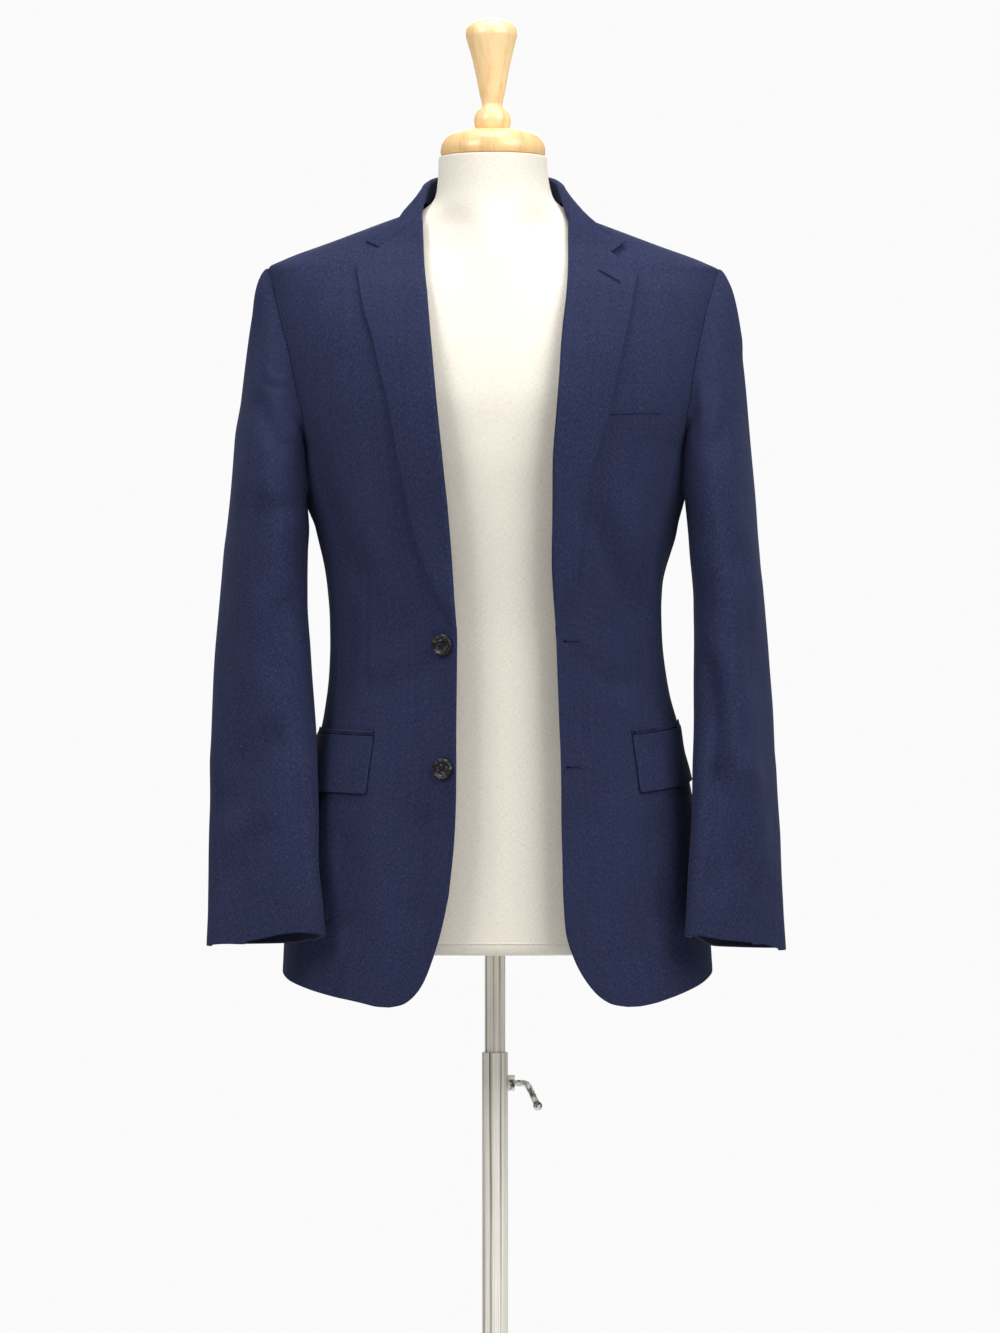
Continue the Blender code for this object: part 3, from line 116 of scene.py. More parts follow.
SIDE_SEAMS = (  # z, the front seam's angle, the back seam's angle
    (700, 62.0, 107.0), (860, 63.0, 108.0), (1050, 64.0, 111.0), (1200, 70.0, 110.0),
    (1275, 75.0, 107.0),
)
ARMHOLE = (  # z, reach before and behind the shoulder's ridge
    (1222, 0.0, 0.0), (1224, 16.0, 20.0), (1229, 30.0, 35.0), (1240, 44.0, 49.0),
    (1262, 53.0, 60.0), (1289, 53.0, 63.0), (1315, 49.0, 60.0), (1346, 39.5, 50.0),
    (1376, 25.0, 34.0), (1395, 12.0, 17.0), (1405, 0.0, 0.0),
)
RIGHT_ARMHOLE_FRONT = (
    (1222, 0.0), (1224, 16.0), (1229, 30.0), (1240, 44.0), (1262, 52.0), (1289, 48.5),
    (1315, 43.5), (1346, 32.0), (1376, 17.8), (1395, 9.3), (1405, 0.0),
)
JOIN_Z = {"front": 1.250, "back": 1.262}
LAPEL_EDGE = {
    RIGHT: (
        (42.2, 1059.5), (47, 1073), (57, 1096), (73, 1141), (87.6, 1208),
        (99.1, 1262), (109.5, 1302), (119.1, 1340), (124.0, 1354), (133.0, 1402),
    ),
    LEFT: (
        (62.8, 1059.5), (67, 1073), (74, 1096), (80, 1138), (85, 1188),
        (100.0, 1238), (107.6, 1260), (117.2, 1303), (130.5, 1361), (137.5, 1396),
    ),
}
GORGE_ROLL_Z = 1.4495
NOTCH_INNER = {RIGHT: (106.5, 1419.5), LEFT: (112.0, 1417.0)}
COLLAR_CORNER = {RIGHT: (124.5, 1428.2), LEFT: (127.0, 1428.6)}
COLLAR_WALL, GORGE_GAP, TIP_LIFT = 2.0 * MM, 0.02 * MM, 1.8 * MM
NOTCH_COLUMN, LAST_COLUMN, TIP_COLUMN, TIP_RUN = 6, 11, 9.4, 1.3  # counted across the collar
LOFT, LOFT_MORE = 0.72, 0.85  # how far the lapel stands off: everywhere, and between two heights
LOFT_FOOT_Z, LOFT_TOP_Z = 1.065, 1.34
COLLAR = (  # foot, top and outer edge of the left half, from the back's middle to the front
    ((0.0, 67.0, 1468.0), (0.0, 66.0, 1503.0), (0.0, 79.0, 1450.5)),
    ((22.0, 64.0, 1468.0), (22.0, 63.5, 1502.5), (26.5, 76.0, 1450.5)),
    ((42.0, 53.5, 1470.0), (41.5, 53.5, 1500.5), (51.5, 63.0, 1452.5)),
    ((57.5, 37.0, 1470.5), (56.5, 37.0, 1497.0), (75.0, 42.0, 1456.0)),
    ((65.0, 17.0, 1470.5), (64.2, 17.0, 1491.0), (79.5, 18.4, 1461.0)),
    ((67.5, -3.0, 1469.5), (67.4, -4.0, 1484.5), (84.5, -5.6, 1459.0)),
    ((69.5, -18.0, 1465.0), (69.6, -20.0, 1473.5), (96.5, -26.0, 1448.5)),
)
SLEEVE = {  # z, inner, outer, middle_y, girth, thick
    RIGHT: (
        (1176, 182.4, 260.0, 1.0, 372, 74), (1150, 180.6, 262.8, -1.0, 367, 77),
        (1130, 181.6, 265.0, -3.0, 362, 79), (1080, 181.8, 269.0, -9.0, 350, 81),
        (1030, 178.0, 273.0, -17.0, 338, 81), (980, 174.3, 275.5, -27.0, 325, 77),
        (930, 170.8, 276.6, -39.0, 312, 69), (880, 169.5, 276.8, -51.0, 300, 62),
        (830, 168.5, 276.6, -65.0, 288, 54), (785, 164.8, 276.8, -77.0, 279, 48),
        (750, 162.0, 277.2, -85.0, 272, 44),
    ),
    LEFT: (
        (1176, 184.8, 255.4, 1.0, 372, 68), (1150, 187.2, 257.0, -1.0, 367, 68),
        (1130, 188.6, 258.8, -3.0, 362, 68), (1080, 193.0, 262.0, -9.0, 350, 69),
        (1030, 192.3, 266.6, -17.0, 338, 71), (980, 191.8, 270.0, -27.0, 325, 71),
        (930, 190.3, 272.5, -39.0, 312, 67), (880, 188.8, 275.3, -51.0, 300, 61),
        (830, 185.8, 277.2, -61.0, 288, 54), (785, 183.0, 279.2, -68.0, 279, 48),
        (750, 181.0, 281.4, -72.0, 272, 44),
    ),
}
SLEEVE_TOP_Z, CUFF_Z, CUFF_SLANT = 1.176, 0.751, 13 * MM
CUFF_RISE = {  # how far the cuff's front edge rises, from the body side outwards
    RIGHT: (
        (160, 6.0), (172, 8.5), (188, 9.5), (203, 8.3), (217, 5.5), (230, 3.2), (238, 1.8),
        (239.5, -0.4), (256, 0.6), (280, 1.6),
    ),
    LEFT: (
        (179, 6.4), (199, 5.0), (219, 2.2), (234, 1.2), (247, 0.6), (248.5, -1.2), (262, 1.4),
        (284, 4.4),
    ),
}
CUFF_BACK = {RIGHT: 0.6 * MM, LEFT: -3.6 * MM}
CAP_PUSH, CAP_DROP = 62 * MM, 230 * MM
LEAST_PUSH, LEAST_DROP = 0.16, 0.25  # the share of both that the underarm has
FRONT_SLEEVE_SEAM, BACK_SLEEVE_SEAM = 135, 105  # degrees around the sleeve
CUFF_STEP, SLEEVE_SEAT, SLEEVE_GROW = 2.4 * MM, 0.05 * MM, 0.9 * MM
SLEEVE_RUN = 0.425
FLAP = {
    RIGHT: {"front_top": (115.9, 951.0), "front_foot": (122.6, 895.5), "rear": 93.0,
            "rear_top_z": 955.0, "rear_foot_z": 900.0},
    LEFT: {"front_top": (131.2, 951.5), "front_foot": (137.9, 896.5), "rear": 92.0,
           "rear_top_z": 960.0, "rear_foot_z": 908.0},
}
FLAP_WALL, JET_HEIGHT, JET_WALL, JET_SHORT = 2.0 * MM, 5.0 * MM, 1.2 * MM, 0.035
WELT = {"inner": (100.0, 1258.0), "outer": (160.0, 1260.6), "height": 28.0}
WELT_WALL, WELT_LIFT = 1.2 * MM, 0.5 * MM
BUTTON_DIAMETER, BUTTON_THICK, BUTTON_SHANK = 20.5 * MM, 4.2 * MM, 0.6 * MM
BUTTONS = ((49.0, 1038.5), (49.0, 920.5))
BUTTONHOLES = (  # name, eyelet end, other end, lift, whether it has an eyelet
    ("top_hole", (64.7, 1042), (80.9, 1042), 0.0, 1), ("low_hole", (67.6, 922), (82.0, 922), 0.0, 1),
    ("lapel_hole", (98.6, 1397.3), (118.7, 1385.4), (LAPEL_LIFT + LAPEL_WALL) * 0.93, 0),
)
HOLE_RADIUS, HOLE_PLACE, DISH_DEPTH = 0.95 * MM, 1.75 * MM, 1.15 * MM

FORM_FOOT_Z, FORM_TOP_Z, ARM_PLATE_X = 0.742, 1.5145, 0.178
CAP_RADIUS, CAP_TOP_Z, FORM_BORE, BORE_DEPTH = 51.5 * MM, 1.539, 10.3 * MM, 0.045
OUTER_TUBE, INNER_TUBE, TUBE_TOP_Z, CLAMP_Z = 12.5 * MM, 10 * MM, 0.642, 0.612
PLATE_RADIUS, PLATE_THICK = 190 * MM, 10 * MM
FORM_CLEAR = (
    (700, 13.0), (900, 13.0), (1050, 10.0), (1200, 8.0), (1300, 6.0), (1380, 4.5), (1415, 3.4),
    (1440, 3.6), (1466, 3.6),
)
FORM_CLEAR_BEHIND = 5.0 * MM
NECK = (
    (1466, 60.8, 57.0, 60.0), (1473, 57.8, 55.4, 58.6), (1482, 55.4, 54.2, 57.4),
    (1496, 53.6, 53.4, 56.2), (1514.5, 52.8, 53.0, 54.0),
)
NECK_SHIFT, CAP_SHIFT, FINIAL_SHIFT, FINIAL_LEAN = -1.5 * MM, -1.9 * MM, -0.4 * MM, -0.0108


# ------------------------------------------------------------------- numbers
def smooth(t):
    t = np.clip(t, 0.0, 1.0)
    return t * t * (3 - 2 * t)


def lerp(a, b, t):
    return a + (b - a) * t


def unit(v):
    return v / np.linalg.norm(v, axis=-1, keepdims=True)


def run_lengths(points):
    """How far along the line each of its points lies."""
    steps = np.linalg.norm(np.diff(points, axis=0), axis=1)
    return np.concatenate([[0.0], np.cumsum(steps)])


def full_turn(steps):
    return np.arange(steps) / steps * 2 * math.pi


class Curve:
    """A smooth monotone cubic through values at rising knots, for whole arrays."""

    def __init__(self, knots, values):
        knots, values = np.array(knots, float), np.array(values, float)
        if knots[0] > knots[-1]:
            knots, values = knots[::-1], values[::-1]
        steps = np.diff(knots)
        slopes = np.diff(values) / steps
        tangents = np.zeros(len(values))
        tangents[0], tangents[-1] = slopes[0], slopes[-1]
        for i in range(1, len(slopes)):
            before, after = slopes[i - 1], slopes[i]
            if before * after > 0:
                w1 = 2 * steps[i] + steps[i - 1]
                w2 = steps[i] + 2 * steps[i - 1]
                tangents[i] = (w1 + w2) / (w1 / before + w2 / after)
        self.knots, self.values, self.steps, self.tangents = knots, values, steps, tangents

    def __call__(self, at):
        at = np.clip(at, self.knots[0], self.knots[-1])
        i = np.clip(np.searchsorted(self.knots, at) - 1, 0, len(self.steps) - 1)
        h, v, m = self.steps[i], self.values, self.tangents
        t = (at - self.knots[i]) / h
        return (
            v[i] * (1 + 2 * t) * (1 - t) ** 2 + h * m[i] * t * (1 - t) ** 2
            + v[i + 1] * t * t * (3 - 2 * t) + h * m[i + 1] * t * t * (t - 1)
        )


class Path:
    """A smooth curve through points, by share of its length."""

    def __init__(self, points, straight=False):
        points = np.array(points, float)
        at = run_lengths(points)
        if straight:
            self.curves = [lambda s, axis=axis: np.interp(s, at, axis) for axis in points.T]
        else:
            self.curves = [Curve(at, axis) for axis in points.T]
        self.length = at[-1]

    def __call__(self, share):
        s = np.asarray(share) * self.length
        return np.stack([curve(s) for curve in self.curves], -1)


def mm_path(points):
    return Path(np.array(points) * MM)


def table_curve(table, column, scale=MM):
    return Curve([row[0] * MM for row in table], [row[column] * scale for row in table])


def softened(curve, blur=9 * MM, still_above=1.36):
    """The curve with its bends rounded a little, below the shoulders."""
    step, blend = 0.0005, 0.04
    z = np.arange(0.660, 1.475, step)
    raw = curve(z)
    half = int(3 * blur / step)
    kernel = np.exp(-0.5 * (np.arange(-half, half + 1) * step / blur) ** 2)
    padded = np.pad(raw, half, mode="reflect", reflect_type="odd")
    soft = np.convolve(padded, kernel / kernel.sum(), "valid")
    keep = smooth((z - still_above + blend) / blend)
    values = soft * (1 - keep) + raw * keep
    return lambda at: np.interp(at, z, values)


SECTION = {
    name: softened(table_curve(TORSO, k, MM if k < 4 else 1.0))
    for k, name in enumerate(TORSO_COLUMNS) if k
}
EDGE = {LEFT: table_curve(FRONT_EDGE, 1), RIGHT: table_curve(FRONT_EDGE, 2)}
SEAM_ANGLE = {
    face: table_curve(SIDE_SEAMS, k, math.pi / 180) for face, k in (("front", 1), ("back", 2))
}
ARMHOLE_Y = {
    LEFT: {"front": table_curve(ARMHOLE, 1), "back": table_curve(ARMHOLE, 2)},
    RIGHT: {"front": table_curve(RIGHT_ARMHOLE_FRONT, 1), "back": table_curve(ARMHOLE, 2)},
}


# -------------------------------------------------------------- torso surface
def torso_radius(angle, z):
    forward = np.cos(angle) > 0
    side = SECTION["side"](z)
    middle = np.where(forward, SECTION["front"](z), SECTION["back"](z))
    full = np.where(forward, SECTION["front_full"](z), SECTION["back_full"](z))
    q_middle, q_side = 1 / middle**2, 1 / side**2
    mean = (q_middle + q_side) / 2
    q_diagonal = mean / full**2
    q = (
        (mean + q_diagonal) / 2 + (q_middle - q_side) / 2 * np.cos(2 * angle)
        + (mean - q_diagonal) / 2 * np.cos(4 * angle)
    )
    return 1 / np.sqrt(q)


def torso_base(angle, z, side):
    radius = torso_radius(angle, z)
    x, y = radius * np.sin(angle), -radius * np.cos(angle)
    reach = np.clip(1 - (np.abs(x) - EDGE[side](z)) / FLARE_WIDTH, 0, None)
    flare = FLARE_DEPTH * reach**2 * smooth((1.42 - z) / 0.22)
    y = y - np.where(y < 0, flare, 0.0)
    return np.stack([side * x, y, z + 0 * x], -1)


def normal_of(surface, angle, z):
    """The direction square to a surface(angle, z), outward where the angle runs to +x."""
    around = surface(angle + 0.004, z) - surface(angle - 0.004, z)
    up = surface(angle, z + 0.001) - surface(angle, z - 0.001)
    return unit(np.cross(around, up))


def torso_normal(angle, z, side):
    return normal_of(lambda a, h: torso_base(a, h, side), angle, z) * side


def torso(angle, z, side, out=0.0):
    """A point of the jacket's outer face with its folds, moved out along the normal."""
    point = torso_base(angle, z, side)
    out = out + torso_folds(point, angle, side)
    return point + torso_normal(angle, z, side) * np.asarray(out)[..., None]


def bisect(value, low, high, target):
    """Where a rising value meets the target, for whole arrays."""
    low, high = np.full(np.shape(target), low), np.full(np.shape(target), high)
    for _ in range(34):
        middle = (low + high) / 2
        less = value(middle) < target
        low, high = np.where(less, middle, low), np.where(less, high, middle)
    return (low + high) / 2


def angle_at_x(x, z):
    x, z = np.broadcast_arrays(np.asarray(x, float), np.asarray(z, float))
    return bisect(lambda a: torso_radius(a, z) * np.sin(a), 0.0, math.pi / 2, x)


def angle_at_y(y, z):
    y, z = np.broadcast_arrays(np.asarray(y, float), np.asarray(z, float))
    return bisect(lambda a: -torso_radius(a, z) * np.cos(a), 0.436, 2.705, y)


def pair(angle, z):
    angle, z = np.broadcast_arrays(angle, z)
    return np.stack([angle, z], -1)


# --------------------------------------------------------------------- folds
def along_line(u, v, line):
    """Signed distance from a polyline, and the share of its length, at (u, v)."""
    best = np.full(np.shape(u), 1e9)
    signed, share = np.zeros_like(best), np.zeros_like(best)
    line = np.array(line, float) * MM
    steps = np.linalg.norm(np.diff(line, axis=0), axis=1)
    total, run = steps.sum(), 0.0
    for (ax, ay), (bx, by), length in zip(line[:-1], line[1:], steps):
        dx, dy = (bx - ax) / length, (by - ay) / length
        t = np.clip((u - ax) * dx + (v - ay) * dy, 0, length)
        ex, ey = u - ax - dx * t, v - ay - dy * t
        away = np.hypot(ex, ey)
        nearer = away < best
        best = np.where(nearer, away, best)
        signed = np.where(nearer, away * np.sign(dx * ey - dy * ex), signed)
        share = np.where(nearer, (run + t) / total, share)
        run += length
    return signed, share


def fold(u, v, line, width, depth, ridge=0.45, fade=0.25):
    """A soft trough along a line, in mm, with a softer ridge on its left side."""
    line = np.array(Path(line)(np.linspace(0, 1, 15)))
    s, share = along_line(u, v, line)
    w = width * MM
    ends = smooth(share / fade) * smooth((1 - share) / fade)
    trough = np.exp(-((s / w) ** 2))
    raised = np.exp(-(((s - 1.9 * w) / (1.4 * w)) ** 2))
    return depth * MM * ends * (ridge * raised - trough)


# Folds of the body: (x, z) in mm seen from the front or behind, with x outward
# from the centre, and (y, z) seen from the side.  Then width, depth, ridge.
BODY_FOLDS = {
    ("front", RIGHT): (
        (((182, 1236), (163, 1180), (140, 1120), (118, 1078)), 14, 6.0, 0.5),
        (((176, 1205), (164, 1150), (156, 1085), (150, 1010)), 13, 5.4, 0.6),
        (((122, 1100), (124, 1050), (123, 1000), (121, 962)), 3.5, 0.9, 0.3),
        (((60, 1030), (78, 1012), (104, 1000), (134, 996)), 12, 3.0, 0.5),
        (((70, 900), (76, 850), (84, 800), (96, 752)), 17, 4.2, 0.5),
        (((150, 880), (148, 830), (150, 780), (156, 740)), 15, 3.7, 0.5),
        (((190, 800), (193, 765), (194, 735), (193, 708)), 4, -0.9, 0.6),
        (((176, 780), (178, 750), (178, 725), (177, 704)), 4, -0.7, 0.6),
    ),
    ("front", LEFT): (
        (((88, 1190), (104, 1140), (124, 1092), (150, 1052)), 14, 6.6, 0.6),
        (((184, 1232), (176, 1180), (163, 1130), (152, 1080)), 13, 5.0, 0.5),
        (((76, 1040), (92, 1018), (112, 1004), (138, 998)), 12, 3.2, 0.5),
        (((130, 1092), (131, 1045), (131, 1000), (132, 962)), 3.5, 0.8, 0.3),
        (((84, 905), (90, 850), (100, 800), (112, 750)), 17, 4.0, 0.5),
        (((160, 890), (158, 840), (160, 790), (166, 745)), 14, 3.2, 0.5),
        (((196, 800), (200, 765), (202, 735), (200, 708)), 3.6, -0.9, 0.7),
        (((186, 790), (189, 755), (190, 728), (189, 704)), 3.6, -0.7, 0.6),
    ),
    ("back", 0): (
        (((196, 1262), (150, 1180), (90, 1105), (36, 1062)), 15, 3.1, 0.6),
        (((150, 1062), (105, 1036), (60, 1024), (14, 1022)), 13, 2.9, 0.6),
        (((146, 1022), (110, 1000), (72, 990), (30, 988)), 11, 1.8, 0.5),
        (((168, 1330), (150, 1290), (138, 1240), (130, 1190)), 16, 2.6, 0.5),
        (((60, 900), (66, 860), (70, 810), (72, 765)), 18, 2.9, 0.5),
        (((128, 925), (132, 870), (134, 820), (136, 770)), 15, 2.6, 0.5),
    ),
    ("side", 0): (
        (((-38, 1195), (-20, 1130), (-6, 1080), (2, 1040)), 12, 0.9, 0.5),
        (((52, 1190), (34, 1130), (22, 1085), (14, 1050)), 12, 0.9, 0.5),
        (((-10, 925), (-6, 880), (-4, 820), (-2, 760)), 14, 0.8, 0.5),
    ),
}

FLANK_EASE = {  # z, how far the flank stands out beyond the even shape of the solid
    RIGHT: (
        (690, -2.4), (760, -2.4), (850, -2.0), (930, -4.2), (962, -4.8), (985, -3.2), (1010, -1.6),
        (1034, 0.0), (1063, 1.2), (1100, 1.0), (1130, 0.5), (1155, 0.2), (1165, 1.8), (1176, 3.6),
        (1192, 4.4), (1206, 4.6), (1217, 3.0), (1230, 0.0),
    ),
    LEFT: (
        (690, 2.6), (760, 2.6), (850, 1.6), (930, 1.5), (962, 4.8), (985, 4.0), (1010, 3.6),
        (1034, 3.0), (1063, 2.8), (1083, 1.7), (1102, 0.9), (1122, 2.0), (1145, 3.1), (1160, 2.4),
        (1176, 3.4), (1192, 4.4), (1206, 4.6), (1217, 3.0), (1230, 0.0),
    ),
}
SHOULDER_EASE = {RIGHT: 2.1 * MM, LEFT: -1.3 * MM}
FRONT_FOLDS_TO, BACK_FOLDS_FROM, FOLDS_BLEND, WANDER = 1.45, 1.75, 0.35, 0.35 * MM


def torso_ease(angle, z, side):
    """What each side has beyond the even shape of the solid."""
    flank = table_curve(FLANK_EASE[side], 1)(z)
    near = smooth(1 - np.abs(angle - math.pi / 2) / 0.75)
    shoulder = SHOULDER_EASE[side] * smooth((z - 1.375) / 0.03) * smooth((math.pi - angle) / 0.9)
    shoulder = shoulder * smooth((angle - 0.45) / 0.6) * smooth((1.470 - z) / 0.02)
    return flank * near + shoulder


def torso_folds(point, angle, side):
    x, y, z = np.abs(point[..., 0]), point[..., 1], point[..., 2]
    angle = np.asarray(angle) + 0 * z
    front = smooth((FRONT_FOLDS_TO - angle) / FOLDS_BLEND)
    back = smooth((angle - BACK_FOLDS_FROM) / FOLDS_BLEND)
    flank = (1 - front) * (1 - back)
    total = np.zeros_like(z)
    for key, weight, across in (
        (("front", side), front, x), (("back", 0), back, x), (("side", 0), flank, y),
    ):
        for line, width, depth, ridge in BODY_FOLDS[key]:
            total += weight * fold(across, z, line, width, depth, ridge)
    # a slow wander, so that no large area is as even as a casting
    total += WANDER * (np.sin(41 * z + 9 * angle * side) * np.sin(23 * angle + 17 * z + side))
    quiet = smooth((z - 1.36) / 0.05)
    return total * (1 - quiet) + torso_ease(angle, z, side)


# ------------------------------------------------------------------- meshing
def new_mesh(name, vertices, faces, materials, uv=None, indices=None, body="form", sharp=None):
    """A mesh object that rides on a body; uv holds one place on the cloth per vertex."""
    mesh = bpy.data.meshes.new(name)
    mesh.from_pydata(np.asarray(vertices, float).tolist(), [], [tuple(map(int, f)) for f in faces])
    for material in materials:
        mesh.materials.append(material)
    if indices is not None:
        mesh.polygons.foreach_set("material_index", np.asarray(indices, dtype=np.int32))
    if uv is not None:
        layer = mesh.uv_layers.new(name="cloth")
        corner = np.empty(len(mesh.loops), dtype=np.int32)
        mesh.loops.foreach_get("vertex_index", corner)
        layer.data.foreach_set("uv", np.asarray(uv, float)[corner].ravel())
    mesh.validate()
    mesh.shade_smooth()
    if sharp:
        mesh.set_sharp_from_angle(angle=math.radians(sharp))
    thing = bpy.data.objects.new(name, mesh)
    bpy.context.scene.collection.objects.link(thing)
    if body:
        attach(thing, body)
    return thing


def hard_piece(name, vertices, faces, material, node, slot, **more):
    """A piece that isn't cloth; it stands for its CAD node if it has one."""
    thing = new_mesh(name, vertices, faces, [material], **more)
    if node:
        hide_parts(node)
    return thing


def grid_quads(index):
    quads = [index[:-1, :-1], index[:-1, 1:], index[1:, 1:], index[1:, :-1]]
    return np.stack(quads, -1).reshape(-1, 4)


def ring_faces(rows, steps, closed=False, flip=False):
    """Quads between rings of points; a closed one has no ends, else both ends get a face."""
    k = np.arange(steps)
    n = (k + 1) % steps
    faces = []
    for i in range(rows if closed else rows - 1):
        a, b = i * steps, (i + 1) % rows * steps
        corners = [a + k, b + k, b + n, a + n] if flip else [a + k, a + n, b + n, b + k]
        faces += np.stack(corners, -1).tolist()
    if not closed:
        for end in (range(steps)[::-1], range((rows - 1) * steps, rows * steps)):
            faces.append(list(end[::-1] if flip else end))
    return faces


def lengths_uv(grid):
    """Where each point of a grid would lie on the flat cloth, in metres."""
    across = np.linalg.norm(np.diff(grid, axis=1), axis=2)
    u = np.concatenate([np.zeros((len(grid), 1)), np.cumsum(across, 1)], 1)
    u -= u[:, [u.shape[1] // 2]]
    up = np.linalg.norm(np.diff(grid, axis=0), axis=2)
    v = np.concatenate([np.zeros((1, grid.shape[1])), np.cumsum(up, 0)], 0)
    return np.stack([u, np.broadcast_to(v.mean(1, keepdims=True), v.shape)], -1)


def area_of(grid):
    a, b = grid[1:, 1:] - grid[:-1, :-1], grid[1:, :-1] - grid[:-1, 1:]
    return float(np.linalg.norm(np.cross(a, b), axis=2).sum() / 2)


def grid_normals(grid):
    rows = np.gradient(grid, axis=0)
    cols = np.gradient(grid, axis=1)
    return unit(np.cross(cols, rows))


def from_edge(grid, edge):
    """A view of the grid whose first column is the named edge: l, r, b or t."""
    if edge in "bt":
        grid = grid.swapaxes(0, 1)
    return grid if edge in "lb" else grid[:, ::-1]


def edge_round(grid, edges, radius, dip):
    """How far the face sinks near the named edges."""
    total = np.zeros(grid.shape[:2])
    for edge in edges:
        view, sink = from_edge(grid, edge), from_edge(total, edge)
        step = np.linalg.norm(np.diff(view, axis=1), axis=2)
        away = np.concatenate([np.zeros((len(view), 1)), np.cumsum(step, 1)], 1)
        t = np.clip(1 - away / radius, 0, 1)
        sink[...] = np.maximum(sink, dip * (1 - np.sqrt(1 - t * t)))
    return total


def sunk(outer, inner, edges, radius, dip, press):
    """Both faces with rounded free edges (capital letters) or pressed seams (small)."""
    way = unit(outer - inner)
    free = [e.lower() for e in edges if e.isupper()]
    sewn = [e for e in edges if e.islower()]
    both = edge_round(outer, free, radius, dip)
    seam = edge_round(outer, sewn, 1.5 * MM, press)
    return outer - way * np.maximum(both, seam)[..., None], inner + way * both[..., None]


def pull_in(grid, edges, gap=STITCHED):
    """The grid with its named edges drawn back, so that pieces don't touch."""
    grid = grid.copy()
    for edge in edges:
        view = from_edge(grid, edge)
        view[:, 0] += unit(view[:, 1] - view[:, 0]) * gap
    return grid


SHEETS = []


def shell(node, outer, inner, edges, materials, free_radius=1.2 * MM, press=0.3 * MM):
    """A cloth wall between two grids; it replaces its solid and is kept in SHEETS."""
    uv = lengths_uv(outer)
    area = area_of(outer)
    thick = float(np.median(np.linalg.norm(outer - inner, axis=2)))
    outer, inner = sunk(outer, inner, edges, free_radius, thick * 0.36, press)
    rows, cols = outer.shape[:2]
    index = np.arange(rows * cols).reshape(rows, cols)
    low = index + rows * cols
    quads = grid_quads(index)
    under = quads[:, ::-1] + rows * cols
    rim = []
    for a, b in (
        (index[:, 0], low[:, 0]), (low[:, -1], index[:, -1]),
        (low[0], index[0]), (index[-1], low[-1]),
    ):
        rim.append(np.stack([a[:-1], a[1:], b[1:], b[:-1]], -1))
    faces = np.concatenate([quads, under] + rim)
    points = np.concatenate([outer.reshape(-1, 3), inner.reshape(-1, 3)])
    first, second, _, last = (points[quads[:, k]] for k in range(4))
    way = np.cross(second - first, last - first)
    if (way * (outer - inner)[:-1, :-1].reshape(-1, 3)).sum() < 0:
        faces = faces[:, ::-1]
    marks = np.zeros(len(faces), dtype=np.int32)
    if len(materials) > 1:
        marks[len(quads): 2 * len(quads)] = 1
    both = np.concatenate([uv.reshape(-1, 2)] * 2)
    thing = new_mesh(node + "_cloth", points, faces, materials, both, marks)
    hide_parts(node)
    width = float(np.ptp(uv[..., 0], axis=1).max())
    length = float(uv[..., 1].max())
    SHEETS.append((thing, (width, length), area))


def spread(count, length, lead=(0.45, 1.0, 1.8, 3.0, 5.0)):
    """Shares from 0 to 1, close together at both ends of a run of this length."""
    ends = [mm * MM / length for mm in lead]
    middle = np.linspace(ends[-1], 1 - ends[-1], count)[1:-1]
    return np.array([0.0] + ends + list(middle) + [1 - e for e in reversed(ends)] + [1.0])


# ------------------------------------------------------------ body of the coat
def lapel_lift(z):
    """Air under the lapel: the roll is pressed flat where it starts."""
    return lerp(0.3 * MM, LAPEL_LIFT, smooth((z - BREAK_Z - 4 * MM) / 0.03))


def roll_radius(z):
    return (lapel_lift(z) + WALL + LAPEL_WALL) / 2


def pieces_of(k, stops):
    """For each k, which stretch it is in and how far along: [(mask, share), ...]."""
    out = []
    for a, b in zip(stops, stops[1:]):
        mask = (k >= a) & ((k < b) | (b == stops[-1]))
        out.append((mask, (k[mask] - a) / (b - a)))
    return out


def armhole_angle(side, face, z):
    y = ARMHOLE_Y[side][face](z)
    return angle_at_y(-y if face == "front" else y, z)


def side_seam(side, face, share):
    """The seam between the side panel and the front or back, from the hem to the armhole."""
    seam = SEAM_ANGLE[face]
    z = lerp(SEAM_FOOT_Z[face][side], JOIN_Z[face], share)
    meet = armhole_angle(side, face, JOIN_Z[face])
    bend = smooth((share - 0.55) / 0.45)
    return pair(seam(z) + (meet - seam(JOIN_Z[face])) * bend, z)


def armhole_run(side, face, z_from, z_to, share):
    z = lerp(z_from, z_to, 0.5 - 0.5 * np.cos(math.pi * np.arange(161) / 160))
    lengths = run_lengths(np.stack([ARMHOLE_Y[side][face](z), z], -1))
    z = np.interp(np.asarray(share) * lengths[-1], lengths, z)
    return pair(armhole_angle(side, face, z), z)


def armhole_loop(side, front_z, back_z, count):
    """Down the armhole's front from one height and up its back to another."""
    share, foot = np.linspace(0, 1, count), ARMHOLE[0][0] * MM
    down = armhole_run(side, "front", front_z, foot, share)
    up = armhole_run(side, "back", foot, back_z, share)
    return np.concatenate([down, up[1:]])


def side_edge(side, face, k):
    """A front's or back's outer edge: 13 parts of side seam, then 9 of armhole."""
    edge = np.empty((len(k), 2))
    (low, share_low), (high, share_high) = pieces_of(k, (0, 13, 22))
    edge[low] = side_seam(side, face, share_low)
    edge[high] = armhole_run(side, face, JOIN_Z[face], SHOULDER_END_Z, share_high)
    return edge


def top_edge(start, s, neck_parts, shoulder_parts):
    """From the start to the neck point, then along the shoulder seam to its end."""
    c = (s * (neck_parts + shoulder_parts))[:, None]
    neck, end = np.array([math.pi / 2, NECK_POINT_Z]), np.array([math.pi / 2, SHOULDER_END_Z])
    to_neck = lerp(start, neck, c / neck_parts)
    return np.where(c < neck_parts, to_neck, lerp(neck, end, (c - neck_parts) / shoulder_parts))


